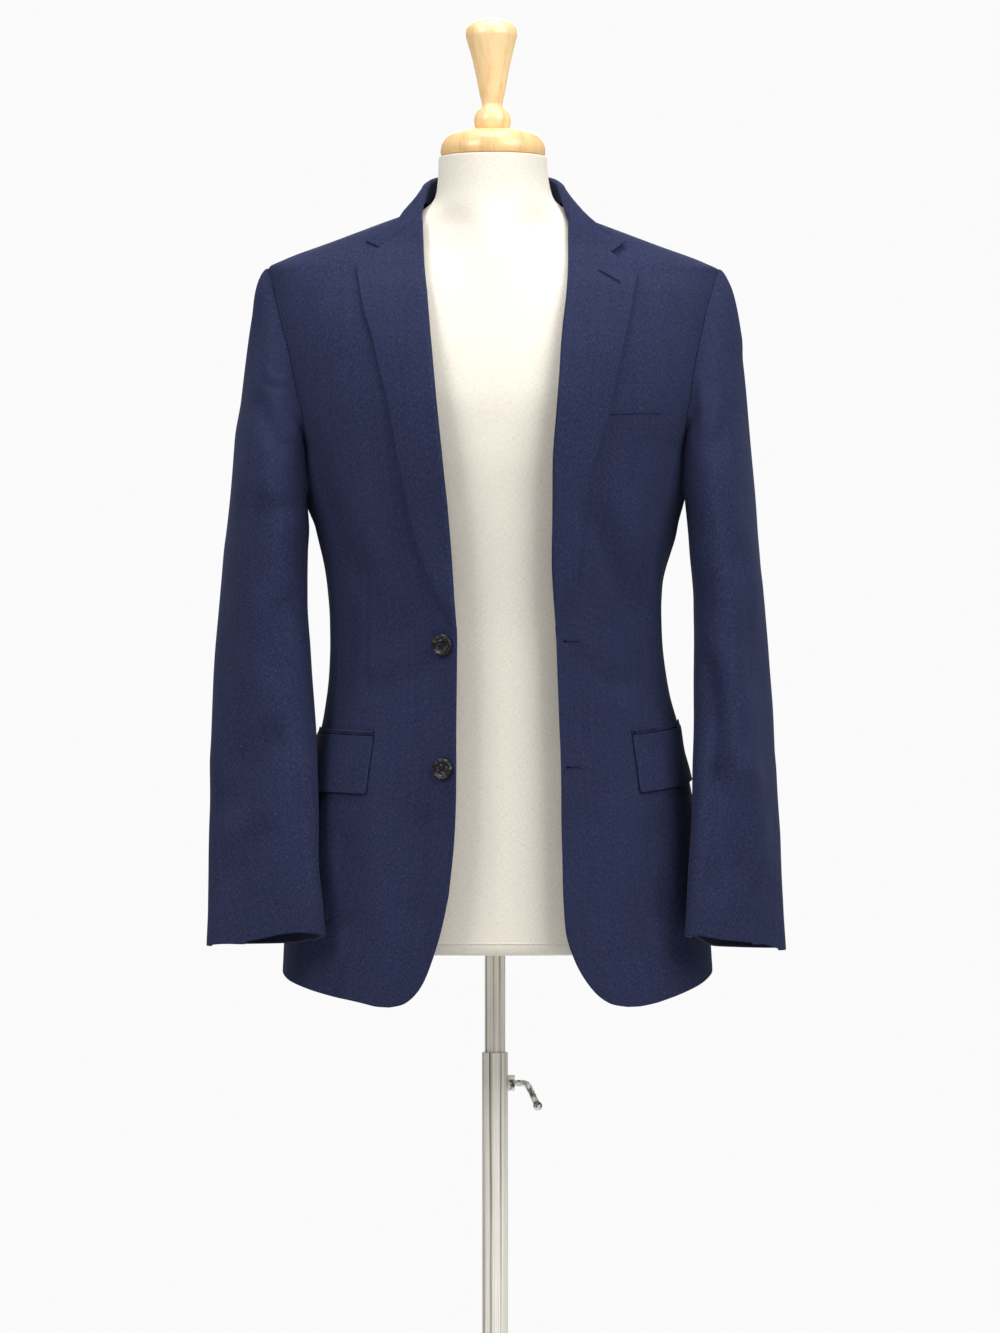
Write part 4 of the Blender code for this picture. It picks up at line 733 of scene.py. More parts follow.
def edge_domain(z, side, back=0.0):
    return pair(angle_at_x(EDGE[side](z) + back, z), z)


def coons(bottom, top, left, right, s, t):
    s, t = s[None, :, None], t[:, None, None]
    return (
        (1 - t) * bottom[None] + t * top[None] + (1 - s) * left[:, None] + s * right[:, None]
        - (1 - t) * (1 - s) * bottom[0] - (1 - t) * s * bottom[-1]
        - t * (1 - s) * top[0] - t * s * top[-1]
    )


def domain_shell(piece, domain, side, edges, materials, lift=None):
    """A panel between the four edges of a domain of (angle, z), with the jacket's wall."""
    angle, z = domain[..., 0], domain[..., 1]
    out = lift(angle, z) if lift else 0.0
    sewn = [e for e in edges if e.islower()]
    outer = pull_in(torso(angle, z, side, out), sewn)
    inner = pull_in(torso(angle, z, side, out - WALL), sewn)
    shell(f"{piece}_{SIDE_NAMES[side]}", outer, inner, edges, materials)


def build_front(side, materials):
    t, s = spread(190, 0.75), spread(84, 0.16)
    k = t * 22
    left = np.empty((len(t), 2))
    cut = mm_path(CUTAWAY[side][::-1])
    start = BREAK_Z + BREAK_JOG
    for n, (mask, share) in enumerate(pieces_of(k, (0, 5, 10, 11, 22))):
        if n == 0:
            xz = cut(share)
            left[mask] = pair(angle_at_x(xz[:, 0], xz[:, 1]), xz[:, 1])
        elif n == 1:
            left[mask] = edge_domain(lerp(CUTAWAY[side][0][1] * MM, BREAK_Z, share), side)
        else:
            z = lerp(BREAK_Z, start, share) if n == 2 else lerp(start, GORGE_ROLL_Z, share)
            back = smooth((z - BREAK_Z - 3 * MM) / (6 * MM)) * (roll_radius(z) + 2 * SEAM)
            left[mask] = edge_domain(z, side, back)
    right = side_edge(side, "front", k)
    top = top_edge(left[-1], s, 3, 9)
    c = (s * 12)[:, None]
    near = mm_path(HEM[side])(np.minimum(s * 12, 5) / 6)
    bottom = pair(angle_at_x(near[:, 0], near[:, 1]), near[:, 1])
    bottom = np.where(c > 5, lerp(bottom[-1], right[0], (c - 5) / 7), bottom)
    bottom[0] = left[0]
    domain_shell("front", coons(bottom, top, left, right, s, t), side, "rtLB", materials)


def build_side(side, materials):
    t, s = spread(120, 0.53), spread(36, 0.12)
    left, right = side_seam(side, "front", t), side_seam(side, "back", t)
    bottom = lerp(left[0], right[0], s[:, None])
    run = armhole_loop(side, JOIN_Z["front"], JOIN_Z["back"], 60)
    lengths = run_lengths(torso_base(run[:, 0], run[:, 1], side))
    top = np.stack([np.interp(s * lengths[-1], lengths, run[:, axis]) for axis in (0, 1)], -1)
    domain_shell("side", coons(bottom, top, left, right, s, t), side, "lrtB", materials)


def vent_lift(angle, z):
    """How far the back stands off over the vent's underlap."""
    near = 1 - np.clip(angle - SEAM_ANGLE["back"](z), 0, None) / VENT_REACH
    return VENT_LIFT * smooth((VENT_TOP_Z + 2 * VENT_RUN - z) / VENT_RUN) * smooth(near)


def build_back(side, materials):
    t, s = spread(180, 0.74), spread(72, 0.22)
    right = side_edge(side, "back", t * 22)
    lap = smooth((VENT_TOP_Z - right[:, 1]) / VENT_RUN) * VENT_LAP
    right[:, 0] -= lap / torso_radius(right[:, 0], right[:, 1])
    left = pair(math.pi, lerp(BACK_HEM_Z, BACK_NECK_Z, t))
    bottom = lerp(left[0], right[0], s[:, None])
    top = top_edge(left[-1], s, 4, 7)
    domain_shell("back", coons(bottom, top, left, right, s, t), side, "lrtB", materials, vent_lift)


# -------------------------------------------------------------------- sleeves
SLEEVE_FOLDS = {  # seen from the front (x, z), the outer side (y, z) and behind
    RIGHT: {
        "front": (
            (((192, 1291), (204, 1287), (217, 1290), (230, 1303)), 3.6, 1.5, 0.9),
            (((190, 1222), (206, 1232), (222, 1258), (232, 1290)), 9, 2.9, 0.6),
            (((193, 1180), (212, 1168), (232, 1172), (250, 1190)), 11, 3.6, 0.5),
            (((262, 860), (246, 900), (226, 940), (200, 968)), 17, 6.8, 0.5),
            (((258, 800), (244, 832), (226, 858), (206, 872)), 12, 3.2, 0.5),
            (((196, 1100), (206, 1060), (210, 1020), (204, 985)), 13, 4.0, 0.5),
        ),
        "inner": ((((-40, 1256), (-38, 1230), (-35, 1205), (-30, 1178)), 20, -6.5, 0.0),),
        "side": (
            (((-5, 1395), (-5, 1345), (-5, 1295), (-5, 1240)), 48, 2.8, 0.0),
            (((-30, 1120), (-34, 1060), (-46, 1000), (-64, 950)), 15, 1.2, 0.5),
            (((-20, 960), (-50, 936), (-78, 926), (-98, 930)), 12, 1.3, 0.5),
            (((-40, 900), (-62, 850), (-76, 810), (-84, 775)), 13, 0.9, 0.5),
        ),
        "back": (
            (((214, 1210), (222, 1160), (232, 1110), (240, 1060)), 15, 3.4, 0.5),
            (((204, 1010), (222, 990), (242, 984), (262, 990)), 12, 3.6, 0.5),
            (((206, 960), (224, 944), (246, 938), (264, 944)), 12, 2.8, 0.5),
        ),
    },
    LEFT: {
        "front": (
            (((199, 1050), (207, 990), (213, 935), (217, 880)), 12, 8.0, 0.7),
            (((212, 950), (219, 900), (228, 850), (240, 790)), 12, 8.4, 0.7),
            (((196, 1226), (212, 1232), (226, 1252), (234, 1282)), 9, 2.2, 0.5),
            (((206, 905), (208, 860), (210, 815), (214, 780)), 10, 4.2, 0.5),
            (((240, 1150), (246, 1090), (250, 1030), (250, 975)), 14, 4.2, 0.4),
        ),
        "inner": ((((-40, 1256), (-38, 1230), (-35, 1205), (-30, 1178)), 20, -6.0, 0.0),),
        "side": (
            (((-5, 1405), (-5, 1378), (-5, 1350), (-5, 1315)), 30, -2.2, 0.0),
            (((-32, 1120), (-38, 1060), (-48, 1000), (-62, 955)), 15, 1.2, 0.5),
            (((-16, 950), (-46, 930), (-72, 924), (-92, 930)), 12, 1.3, 0.5),
            (((-36, 890), (-56, 850), (-68, 810), (-76, 775)), 13, 1.0, 0.5),
        ),
        "back": (
            (((216, 1215), (224, 1160), (234, 1110), (240, 1060)), 15, 3.4, 0.5),
            (((206, 1000), (226, 984), (246, 980), (264, 986)), 12, 3.6, 0.5),
            (((208, 950), (226, 936), (248, 930), (266, 938)), 12, 2.8, 0.5),
        ),
    },
}


def sleeve_section(side, z, around):
    """Points of the sleeve's outer face; z is a column of heights."""
    inner, outer, middle_y, girth, thick = (table_curve(SLEEVE[side], k)(z) for k in range(1, 6))
    across = np.minimum(thick, (outer - inner) * 0.995) / 2

    def round_it(along):
        a, b = across, along
        return math.pi * (3 * (a + b) - np.sqrt((3 * a + b) * (a + 3 * b)))

    along = bisect(round_it, 0.0, 0.2, girth)
    share = (((outer - inner) / 2) ** 2 - across**2) / (along**2 - across**2)
    turn = -np.arcsin(np.sqrt(np.clip(share, 0, 1)))
    u, v = across * np.cos(around), along * np.sin(around)
    x = (inner + outer) / 2 + u * np.cos(turn) + v * np.sin(turn)
    y = middle_y - v * np.cos(turn) + u * np.sin(turn)
    deep = np.hypot(along * np.cos(turn), across * np.sin(turn)) + np.abs(across * np.sin(turn))
    return np.stack([side * x, y, z + 0 * x], -1), middle_y, deep


def armhole_ring(side, grow, around):
    """The sleeve's first ring, on the armhole; grow widens it along the body."""
    run = armhole_loop(side, SHOULDER_END_Z, SHOULDER_END_Z, 120)
    points = torso(run[:, 0], run[:, 1], side, SLEEVE_SEAT)
    lengths = run_lengths(points)
    middle = points.mean(0)
    s = np.mod(around / (2 * math.pi), 1.0) * lengths[-1]
    ring = np.stack([np.interp(s, lengths, points[:, axis]) for axis in range(3)], -1)
    away = ring - middle
    away[:, 0] = 0
    return ring + unit(away) * grow


def sleeve_grid(side, around, cap, arm, reach):
    """Rows from the armhole over the cap and down the arm; reach is how far to the cuff."""
    start = armhole_ring(side, SLEEVE_GROW, around)
    columns = around[None]
    low, below = (
        sleeve_section(side, np.array([[z]]), columns)[0][0] for z in (SLEEVE_TOP_Z, SLEEVE_TOP_Z - 0.02)
    )
    share = np.clip(start[:, 2] - low[:, 2], 0, None) / (SHOULDER_END_Z - SLEEVE_TOP_Z)
    push, drop = LEAST_PUSH + (1 - LEAST_PUSH) * share, LEAST_DROP + (1 - LEAST_DROP) * share
    push = np.stack([side * push * CAP_PUSH, 0 * share, 0.004 * share], -1)
    down = (below - low) / 0.02 * CAP_DROP * drop[:, None]
    t = cap[:, None, None]
    top = (
        (2 * t**3 - 3 * t**2 + 1) * start + (t**3 - 2 * t**2 + t) * push
        + (3 * t**2 - 2 * t**3) * low + (t**3 - t**2) * down
    )
    z = lerp(SLEEVE_TOP_Z, lerp(SLEEVE_TOP_Z, CUFF_Z, reach), arm)[:, None]
    rest, middle_y, deep = sleeve_section(side, z, columns)
    down_arm = (SLEEVE_TOP_Z - z) / (SLEEVE_TOP_Z - CUFF_Z)
    slant = smooth((down_arm - 0.6) / 0.4) * CUFF_SLANT
    rest[..., 2] -= slant * (rest[..., 1] - middle_y) / (2 * deep)
    before = smooth(0.5 - (rest[..., 1] - middle_y) / (0.5 * deep))
    rise = table_curve(CUFF_RISE[side], 1)(np.abs(rest[..., 0]))
    rest[..., 2] += smooth((down_arm - 0.80) / 0.20) * lerp(CUFF_BACK[side], rise, before)
    return np.concatenate([top, rest])


def sleeve_folds(point, normal, side):
    x, y, z = np.abs(point[..., 0]), point[..., 1], point[..., 2]
    weights = {
        "front": smooth((-normal[..., 1] - 0.15) / 0.45),
        "side": smooth((side * normal[..., 0] - 0.35) / 0.45),
        "inner": smooth((-side * normal[..., 0] - 0.25) / 0.45),
        "back": smooth((normal[..., 1] - 0.15) / 0.45),
    }
    total = np.zeros_like(z)
    for face, weight in weights.items():
        for line, width, depth, ridge in SLEEVE_FOLDS[side][face]:
            total += weight * fold(y if face in ("side", "inner") else x, z, line, width, depth, ridge)
    return total + 0.4 * MM * np.sin(33 * z + 2 * side) * np.sin(60 * y + 21 * z)


def build_sleeve(side, materials):
    cap = np.concatenate([[0, 0.004, 0.009, 0.016, 0.027, 0.042], np.linspace(0.06, 0.985, 40)])
    arm = np.concatenate([[0, 0.45, 1.0, 1.8, 3.0], np.linspace(5, 425, 130)])
    arm = 1 - arm[::-1] * MM / SLEEVE_RUN
    arm[0] = 0.0
    front, back = math.radians(FRONT_SLEEVE_SEAM), math.radians(-BACK_SLEEVE_SEAM)
    spans = {
        "sleeve_top": (back, front, 86, 1.0),
        "sleeve_under": (front, back + 2 * math.pi, 44, 1 - CUFF_STEP / SLEEVE_RUN),
    }
    every = np.linspace(0, 2 * math.pi, 24, endpoint=False)
    for name, (begin, end, count, reach) in spans.items():
        around = lerp(begin, end, spread(count, (end - begin) * 0.047))
        wide = np.concatenate([[begin - 0.03], around, [end + 0.03]])
        grid = sleeve_grid(side, wide, cap, arm, reach)
        normal = unit(np.cross(np.gradient(grid, axis=1), np.gradient(grid, axis=0)))
        centre = sleeve_grid(side, every, cap, arm, reach).mean(1)
        normal *= np.sign((normal * (grid - centre[:, None])).sum(-1).mean())
        grid, normal = grid[:, 1:-1], normal[:, 1:-1]
        rows = np.arange(len(grid))[:, None]
        held = smooth((rows - 3) / 16)
        grid = grid + normal * (sleeve_folds(grid, normal, side) * held)[..., None]
        inner = grid - normal * WALL
        inside = armhole_ring(side, -SLEEVE_GROW, around)
        blend = smooth(rows / 8)[..., None]
        inner = lerp(inside[None] + (grid - grid[:1]), inner, blend)
        node = f"{name}_{SIDE_NAMES[side]}"
        shell(node, pull_in(grid, "lr"), pull_in(inner, "lr"), "lrbT", materials)


# -------------------------------------------------------------- lapel, collar
def roll_grid(side, z, outer, turns, shares, kink=None):
    """Middle points from under the roll, round it and out over the chest."""
    middle = lapel_lift(z) + LAPEL_WALL / 2
    under = -WALL / 2
    reach = roll_radius(z)[:, None]
    radius = ((middle - under) / 2)[:, None]
    centre = ((middle + under) / 2)[:, None]
    roll = np.stack([EDGE[side](z), z], -1)
    aim = outer if kink is None else np.broadcast_to(kink, outer.shape)
    way = unit(aim - roll)
    back = reach - radius * np.sin(turns)
    lift = centre - radius * np.cos(turns)
    folded = roll[:, None] + way[:, None] * back[..., None]
    start = roll + way * reach
    if kink is None:
        flat = lerp(start[:, None], outer[:, None], shares[None, :, None])
    else:
        flat = np.stack([
            Path([a, k, b], straight=True)(shares) for a, k, b in zip(start, aim, outer)
        ])
    loft = LOFT + LOFT_MORE * smooth((z - LOFT_FOOT_Z) / 0.05) * smooth((LOFT_TOP_Z - z) / 0.14)
    settle = middle[:, None] * lerp(1.0, loft[:, None], smooth(shares))
    xz = np.concatenate([folded, flat], 1)
    lifts = np.concatenate([lift, np.broadcast_to(settle, flat.shape[:2])], 1)
    return torso(angle_at_x(xz[..., 0], xz[..., 1]), xz[..., 1], side, lifts)


def thick(node, middle, wall, edges, materials):
    normal = grid_normals(middle)
    outer, inner = middle + normal * wall / 2, middle - normal * wall / 2
    shell(node, outer, inner, edges, materials, press=0.08 * MM)


LAPEL_SHARES = np.concatenate([np.linspace(0.02, 0.94, 44), [0.965, 0.98, 0.99, 1.0]])


def build_lapel(side, materials):
    t = spread(170, 0.39)
    outer = mm_path(LAPEL_EDGE[side])(t)
    z = lerp(BREAK_Z + 1.5 * MM, GORGE_ROLL_Z, t)
    grid = roll_grid(side, z, outer, np.linspace(0, math.pi, 15), LAPEL_SHARES)
    grid = pull_in(grid, "t", GORGE_GAP)
    thick(f"lapel_{SIDE_NAMES[side]}", grid, LAPEL_WALL * 0.92, "RtB", materials)


def catmull(points, at):
    """A smooth curve through evenly numbered points, along the first axis."""
    points = np.concatenate([2 * points[:1] - points[1:2], points, 2 * points[-1:] - points[-2:-1]])
    at = np.asarray(at, float)
    i = np.clip(at.astype(int), 0, len(points) - 4)
    t = (at - i).reshape((-1,) + (1,) * (points.ndim - 1))
    a, b, c, d = (points[i + k] for k in range(4))
    return 0.5 * (
        2 * b + (c - a) * t + (2 * a - 5 * b + 4 * c - d) * t**2 + (3 * b - a - 3 * c + d) * t**3
    )


def collar_line(foot, top, edge):
    """Twelve points across the collar: up its stand, over the fold and down its fall."""
    foot, top, edge = (np.array(p) * MM for p in (foot, top, edge))
    out = edge - top
    out[2] = 0.0
    out /= np.linalg.norm(out)
    radius = 2.4 * MM
    drop = np.array([0.0, 0.0, -radius])
    inside, outside = top - out * radius + drop, top + out * radius + drop
    line = [foot, foot + (inside - foot) * 0.55, inside]
    for turn in (45, 90, 135):
        a = math.radians(turn)
        line.append(top + drop - out * radius * math.cos(a) - drop * math.sin(a))
    line.append(outside)
    for k in range(1, 6):
        line.append(lerp(outside, edge, k / 5) + out * 1.0 * MM * math.sin(math.pi * k / 5))
    return np.array(line)


def gorge_line(side, columns):
    """The collar's end on the gorge seam, then from the notch's inner end to its corner."""
    roll_z = np.array([GORGE_ROLL_Z])
    corner = np.array([COLLAR_CORNER[side]]) * MM
    notch = np.array(NOTCH_INNER[side]) * MM
    past = columns > NOTCH_COLUMN
    flat = np.clip((columns - NOTCH_COLUMN) / (LAST_COLUMN - NOTCH_COLUMN), 0, 1)[past]
    turns = np.linspace(0, math.pi, 6)
    line = roll_grid(LEFT, roll_z, corner, turns, np.linspace(0, 1, 6)[1:], notch)[0]
    line = np.concatenate([line[:1], (line[:1] + line[1:2]) / 2, line[1:]])
    exact = roll_grid(LEFT, roll_z, corner, turns, flat, notch)[0][6:]
    tip = smooth((columns[past] - TIP_COLUMN) / TIP_RUN)[:, None]
    exact = exact + np.array([0, -TIP_LIFT, 0.3 * TIP_LIFT]) * tip
    return np.concatenate([catmull(line, columns[~past]), exact])


def clear_of_torso(points, gap):
    """The points, pushed out where they come nearer to the jacket than the gap."""
    angle = np.arctan2(np.abs(points[..., 0]), -points[..., 1])
    z = np.minimum(points[..., 2], TORSO_TOP_Z)
    out = np.empty_like(points)
    for side in (LEFT, RIGHT):
        own = (points[..., 0] >= 0) == (side == LEFT)
        surface = torso(angle[own], z[own], side)
        normal = torso_normal(angle[own], z[own], side)
        away = ((points[own] - surface) * normal).sum(-1)
        push = np.clip(gap - away, 0, None) * (points[own][:, 2] <= TORSO_TOP_Z)
        out[own] = points[own] + normal * push[:, None]
    return out


def build_collar(materials):
    columns = np.concatenate([
        np.linspace(0, 2, 10)[:-1], np.linspace(2, NOTCH_COLUMN, 30),
        np.linspace(NOTCH_COLUMN, 10.75, 40)[1:], [10.82, 10.9, 10.96, LAST_COLUMN],
    ])
    lines = np.stack([catmull(collar_line(*row), columns) for row in COLLAR])
    left, right = (
        np.concatenate([lines, gorge_line(side, columns)[None]]) for side in (LEFT, RIGHT)
    )
    grid = np.concatenate([right[::-1] * np.array([-1, 1, 1]), left[1:]])
    last = len(grid) - 1
    grid = catmull(grid, np.concatenate([
        [0, 0.02, 0.05, 0.1], np.linspace(0.2, last - 0.2, 190),
        [last - 0.1, last - 0.05, last - 0.02, last],
    ]))
    fall = columns > 6.4
    grid[..., 0] += NECK_SHIFT * smooth((grid[..., 2] - 1.449) / 0.012)
    grid[4:-4, fall] = clear_of_torso(grid[4:-4, fall], 0.9 * MM + COLLAR_WALL / 2)
    grid = pull_in(grid, "bt", GORGE_GAP)
    thick("collar", grid, COLLAR_WALL * 0.92, "Rbt", materials)


# ---------------------------------------------------------------------- trims
def at_xz(x, z):
    return np.array([float(angle_at_x(x * MM, z * MM)), z * MM])


def patch(node, side, corners, lift, wall, shape, edges, materials, corner=0.0, curl=0.0):
    """A piece laid on the torso; corner rounds its foot, curl lifts its foot off."""
    foot_a, foot_b, top_a, top_b = (np.array(c) for c in corners)
    height = float(top_a[1] - foot_a[1])
    width = float(torso_radius(foot_a[0], foot_a[1]) * (foot_b[0] - foot_a[0]))
    t, s = spread(shape[0], height), spread(shape[1], width)
    a, b = lerp(foot_a, top_a, t[:, None]), lerp(foot_b, top_b, t[:, None])
    if corner:
        rise = np.clip(1 - t * height / corner, 0, 1)
        cut = corner * (1 - np.sqrt(1 - rise**2)) / width
        a, b = lerp(a, b, cut[:, None]), lerp(b, a, cut[:, None])
    domain = lerp(a[:, None], b[:, None], s[None, :, None])
    off = lift + curl * (1 - t)[:, None] ** 2 * (0.7 + 0.3 * np.abs(2 * s - 1)[None] ** 3)
    outer = torso(domain[..., 0], domain[..., 1], side, off + wall)
    inner = torso(domain[..., 0], domain[..., 1], side, off)
    shell(node, outer, inner, edges, materials, 0.9 * MM)


def build_pocket(side, materials):
    size, name = FLAP[side], SIDE_NAMES[side]
    rear = math.radians(size["rear"])
    front, back = at_xz(*size["front_top"]), np.array([rear, size["rear_top_z"] * MM])
    feet = (at_xz(*size["front_foot"]), (rear, size["rear_foot_z"] * MM))
    patch(
        f"flap_{name}", side, feet + (front, back), TRIM_LIFT * 0.7, FLAP_WALL * 0.9, (40, 70),
        "LRBt", materials, corner=3.5 * MM, curl=0.8 * MM,
    )
    back = back - (JET_SHORT, 0)
    low = (front + (0, SEAM), back + (0, SEAM))
    high = tuple(p + np.array([0, JET_HEIGHT]) for p in low)
    patch(f"jet_{name}", side, low + high, TRIM_LIFT * 0.6, JET_WALL, (8, 70), "LRBT", materials)


def build_welt(materials):
    (x0, z0), (x1, z1), height = WELT["inner"], WELT["outer"], WELT["height"]
    corners = (at_xz(x0, z0), at_xz(x1, z1), at_xz(x0, z0 + height), at_xz(x1, z1 + height))
    lift, wall = WELT_LIFT * 0.3, WELT_WALL * 0.6
    patch("chest_welt", LEFT, corners, lift, wall, (24, 50), "LRBT", materials)


UPRIGHT = (np.zeros(3), np.array([0.0, 0.0, 1.0]))


def turned(name, profile, material, steps, frame=UPRIGHT, node=None, slot="steel", **more):
    """A turned solid from (radius, height) rings along an axis; radius 0 closes an end."""
    origin, axis = frame
    axis = unit(np.array(axis, float))
    helper = np.array([1.0, 0, 0]) if abs(axis[0]) < 0.9 else np.array([0, 1.0, 0])
    u = unit(np.cross(axis, helper))
    v = np.cross(axis, u)
    turn = full_turn(steps)
    ring = u * np.cos(turn)[:, None] + v * np.sin(turn)[:, None]
    points = [np.array(origin) + axis * height + ring * max(radius, 1e-5) for radius, height in profile]
    faces = ring_faces(len(profile), steps)
    return hard_piece(name, np.concatenate(points), faces, material, node, slot, **more)


def rounded(profile, radius=0.4 * MM, steps=3):
    """The profile with each of its corners rounded."""
    points = [np.array(p, float) for p in profile]
    out = [points[0]]
    for before, at, after in zip(points, points[1:], points[2:]):
        a, b = before - at, after - at
        la, lb = np.linalg.norm(a), np.linalg.norm(b)
        r = min(radius, la * 0.45, lb * 0.45)
        start, end = at + a / la * r, at + b / lb * r
        for k in range(steps + 1):
            t = k / steps
            out.append((1 - t) ** 2 * start + 2 * t * (1 - t) * at + t * t * end)
    out.append(points[-1])
    return [tuple(p) for p in out]


def tube_along(points, radius, steps):
    """A round cord through points; it closes on itself if its ends meet."""
    points = np.array(points, float)
    closed = np.linalg.norm(points[0] - points[-1]) < 1e-6
    if closed:
        points = points[:-1]
    step = np.roll(points, -1, 0) - np.roll(points, 1, 0) if closed else np.gradient(points, axis=0)
    way = unit(step)
    side = unit(np.cross(way, np.array([0.13, 0.31, 0.94])))
    up = np.cross(way, side)
    turn = full_turn(steps)
    rings = points[:, None] + radius * (
        side[:, None] * np.cos(turn)[:, None] + up[:, None] * np.sin(turn)[:, None]
    )
    return rings.reshape(-1, 3), ring_faces(len(points), steps, closed)


def joined(name, parts, material, slot="navy_wool"):
    points, faces, base = [], [], 0
    for vertices, some in parts:
        points.append(vertices)
        faces += [tuple(base + v for v in f) for f in some]
        base += len(vertices)
    hard_piece(name, np.concatenate(points), faces, material, None, slot)


def build_button(name, x, z, horn, thread):
    """A dished horn button with four holes, sewn on with a thread shank."""
    x, z = x * MM, z * MM
    angle = float(angle_at_x(x, z))
    at = (np.array([angle]), np.array([z]))
    normal = torso_normal(*at, RIGHT)[0]
    seat = torso(*at, RIGHT, BUTTON_SHANK)[0]
    r, h = BUTTON_DIAMETER / 2, BUTTON_THICK
    profile = [
        (0.0, 0.0), (r * 0.55, 0.0), (r * 0.86, 0.35 * MM), (r - 0.35 * MM, 1.1 * MM), (r, 1.9 * MM),
        (r, h - 1.25 * MM), (r - 0.25 * MM, h - 0.5 * MM), (r - 0.8 * MM, h - 0.1 * MM),
        (r - 1.4 * MM, h), (r - 2.1 * MM, h - 0.15 * MM), (r - 2.9 * MM, h - 0.75 * MM),
        (r - 3.9 * MM, h - 1.05 * MM), (r - 6.0 * MM, h - DISH_DEPTH), (0.0, h - DISH_DEPTH),
    ]
    disc = turned(name + "_horn", profile, horn, 72, (seat, normal), node=name, slot="horn", sharp=50)
    helper = unit(np.cross(normal, (0.0, 0.0, 1.0)))
    up = np.cross(helper, normal)
    spots = [seat + (helper * a + up * b) * HOLE_PLACE for a in (-1, 1) for b in (-1, 1)]
    drill = [(HOLE_RADIUS, -1 * MM), (HOLE_RADIUS, h + 1 * MM)]
    cutters = []
    for spot in spots:
        cutter = turned("cutter", drill, horn, 20, (spot, normal), body=None, sharp=35)
        cutters.append(cutter)
        cut = disc.modifiers.new("hole", "BOOLEAN")
        cut.operation, cut.object, cut.solver = "DIFFERENCE", cutter, "EXACT"
    bpy.context.view_layer.update()
    holed = bpy.data.meshes.new_from_object(disc.evaluated_get(bpy.context.evaluated_depsgraph_get()))
    disc.modifiers.clear()
    disc.data = holed
    disc.data.set_sharp_from_angle(angle=math.radians(45))
    for cutter in cutters:
        bpy.data.objects.remove(cutter, do_unlink=True)
    parts = []
    low, high = normal * 0.2 * MM, normal * (h - DISH_DEPTH)
    for a, b in ((0, 1), (2, 3), (0, 3), (1, 2)):
        for shift in (-0.28, 0.28):
            side = unit(np.cross(spots[b] - spots[a], normal)) * shift * MM
            top = (spots[a] + spots[b]) / 2 + high + normal * (0.75 + 0.2 * (a + b == 3)) * MM
            over_a, over_b = (
                lerp(spots[p], spots[q], 0.12) + high + normal * 0.4 * MM for p, q in ((a, b), (b, a))
            )
            line = Path([
                spots[a] + low, spots[a] + high * 0.9, over_a, top, over_b, spots[b] + high * 0.9,
                spots[b] + low,
            ])(np.linspace(0, 1, 22))
            parts.append(tube_along(line + side, 0.24 * MM, 6))
    stem = np.linspace(-0.8 * MM, 0.6 * MM, 5)[:, None] * normal + seat
    parts.append(tube_along(stem, 1.7 * MM, 12))
    joined(f"{name}_thread", parts, thread)


def surface_line(side, xz, lift):
    xz = np.array(xz)
    return torso(angle_at_x(xz[:, 0], xz[:, 1]), xz[:, 1], side, lift)


def build_buttonhole(name, side, a, b, lift, thread, dark, eyelet):
    """A worked hole: a dark slit, a near-black sheet of painted shade, with a corded edge, from a (the
    eyelet, 1 or 0) to b.
    """
    a, b = np.array(a) * MM, np.array(b) * MM
    way = (b - a) / np.linalg.norm(b - a)
    across = np.array([-way[1], way[0]])
    length = np.linalg.norm(b - a)

    def bulge(along, size, width):
        return eyelet * size * MM * math.exp(-(((along - 1.4 * MM) / (width * MM)) ** 2))

    loop = []
    for k in range(73):
        turn = 2 * math.pi * k / 72
        along = (0.5 - 0.5 * math.cos(turn)) * length
        half = 0.62 * MM * min(1.0, math.sin(turn) ** 2 * 8) ** 0.5
        half += bulge(along, 0.9, 1.5) * abs(math.sin(turn)) ** 0.4
        loop.append(a + way * along + across * half * math.copysign(1, math.sin(turn)))
    loop[-1] = loop[0]
    edge = Path(surface_line(side, loop, lift + 0.22 * MM))(np.linspace(0, 1, 260))
    edge[-1] = edge[0]
    bar = [b + way * 0.5 * MM + across * s * MM for s in np.linspace(-1.1, 1.1, 9)]
    bar = surface_line(side, bar, lift + 0.25 * MM)
    joined(f"{name}_cord", [tube_along(edge, 0.42 * MM, 7), tube_along(bar, 0.45 * MM, 7)], thread)
    rows = []
    for s in np.linspace(0.03, 0.97, 40):
        half = 0.25 * MM + bulge(s * length, 0.7, 1.4)
        rows.append([a + way * s * length + across * half * w for w in (-1, -0.5, 0, 0.5, 1)])
    rows = np.array(rows)
    grid = np.stack([surface_line(side, rows[:, k], lift + 0.1 * MM) for k in range(rows.shape[1])], 1)
    quads = grid_quads(np.arange(grid.shape[0] * grid.shape[1]).reshape(grid.shape[:2]))
    # the slit's near-black sheet is painted shade
    joined(f"{name}_slit", [(grid.reshape(-1, 3), quads.tolist())], dark)


# ------------------------------------------------------------- form and stand
def form_surface(turn, z):
    """The form's skin at a turn from the centre front (0 to 2 pi) and a height."""
    angle = np.where(turn <= math.pi, turn, 2 * math.pi - turn)
    side = np.where(turn <= math.pi, 1.0, -1.0)

    def plain(a, h):
        r = torso_radius(a, h)
        return np.stack([r * np.sin(a), -r * np.cos(a), h + 0 * a], -1)

    clear = table_curve(FORM_CLEAR, 1)(z)
    clear = clear + FORM_CLEAR_BEHIND * smooth((angle - math.pi / 2) / 0.16)
    point = plain(angle, z) - normal_of(plain, angle, z) * (WALL + clear)[..., None]
    point[..., 0] = np.clip(point[..., 0], -ARM_PLATE_X, ARM_PLATE_X) * side
    return point


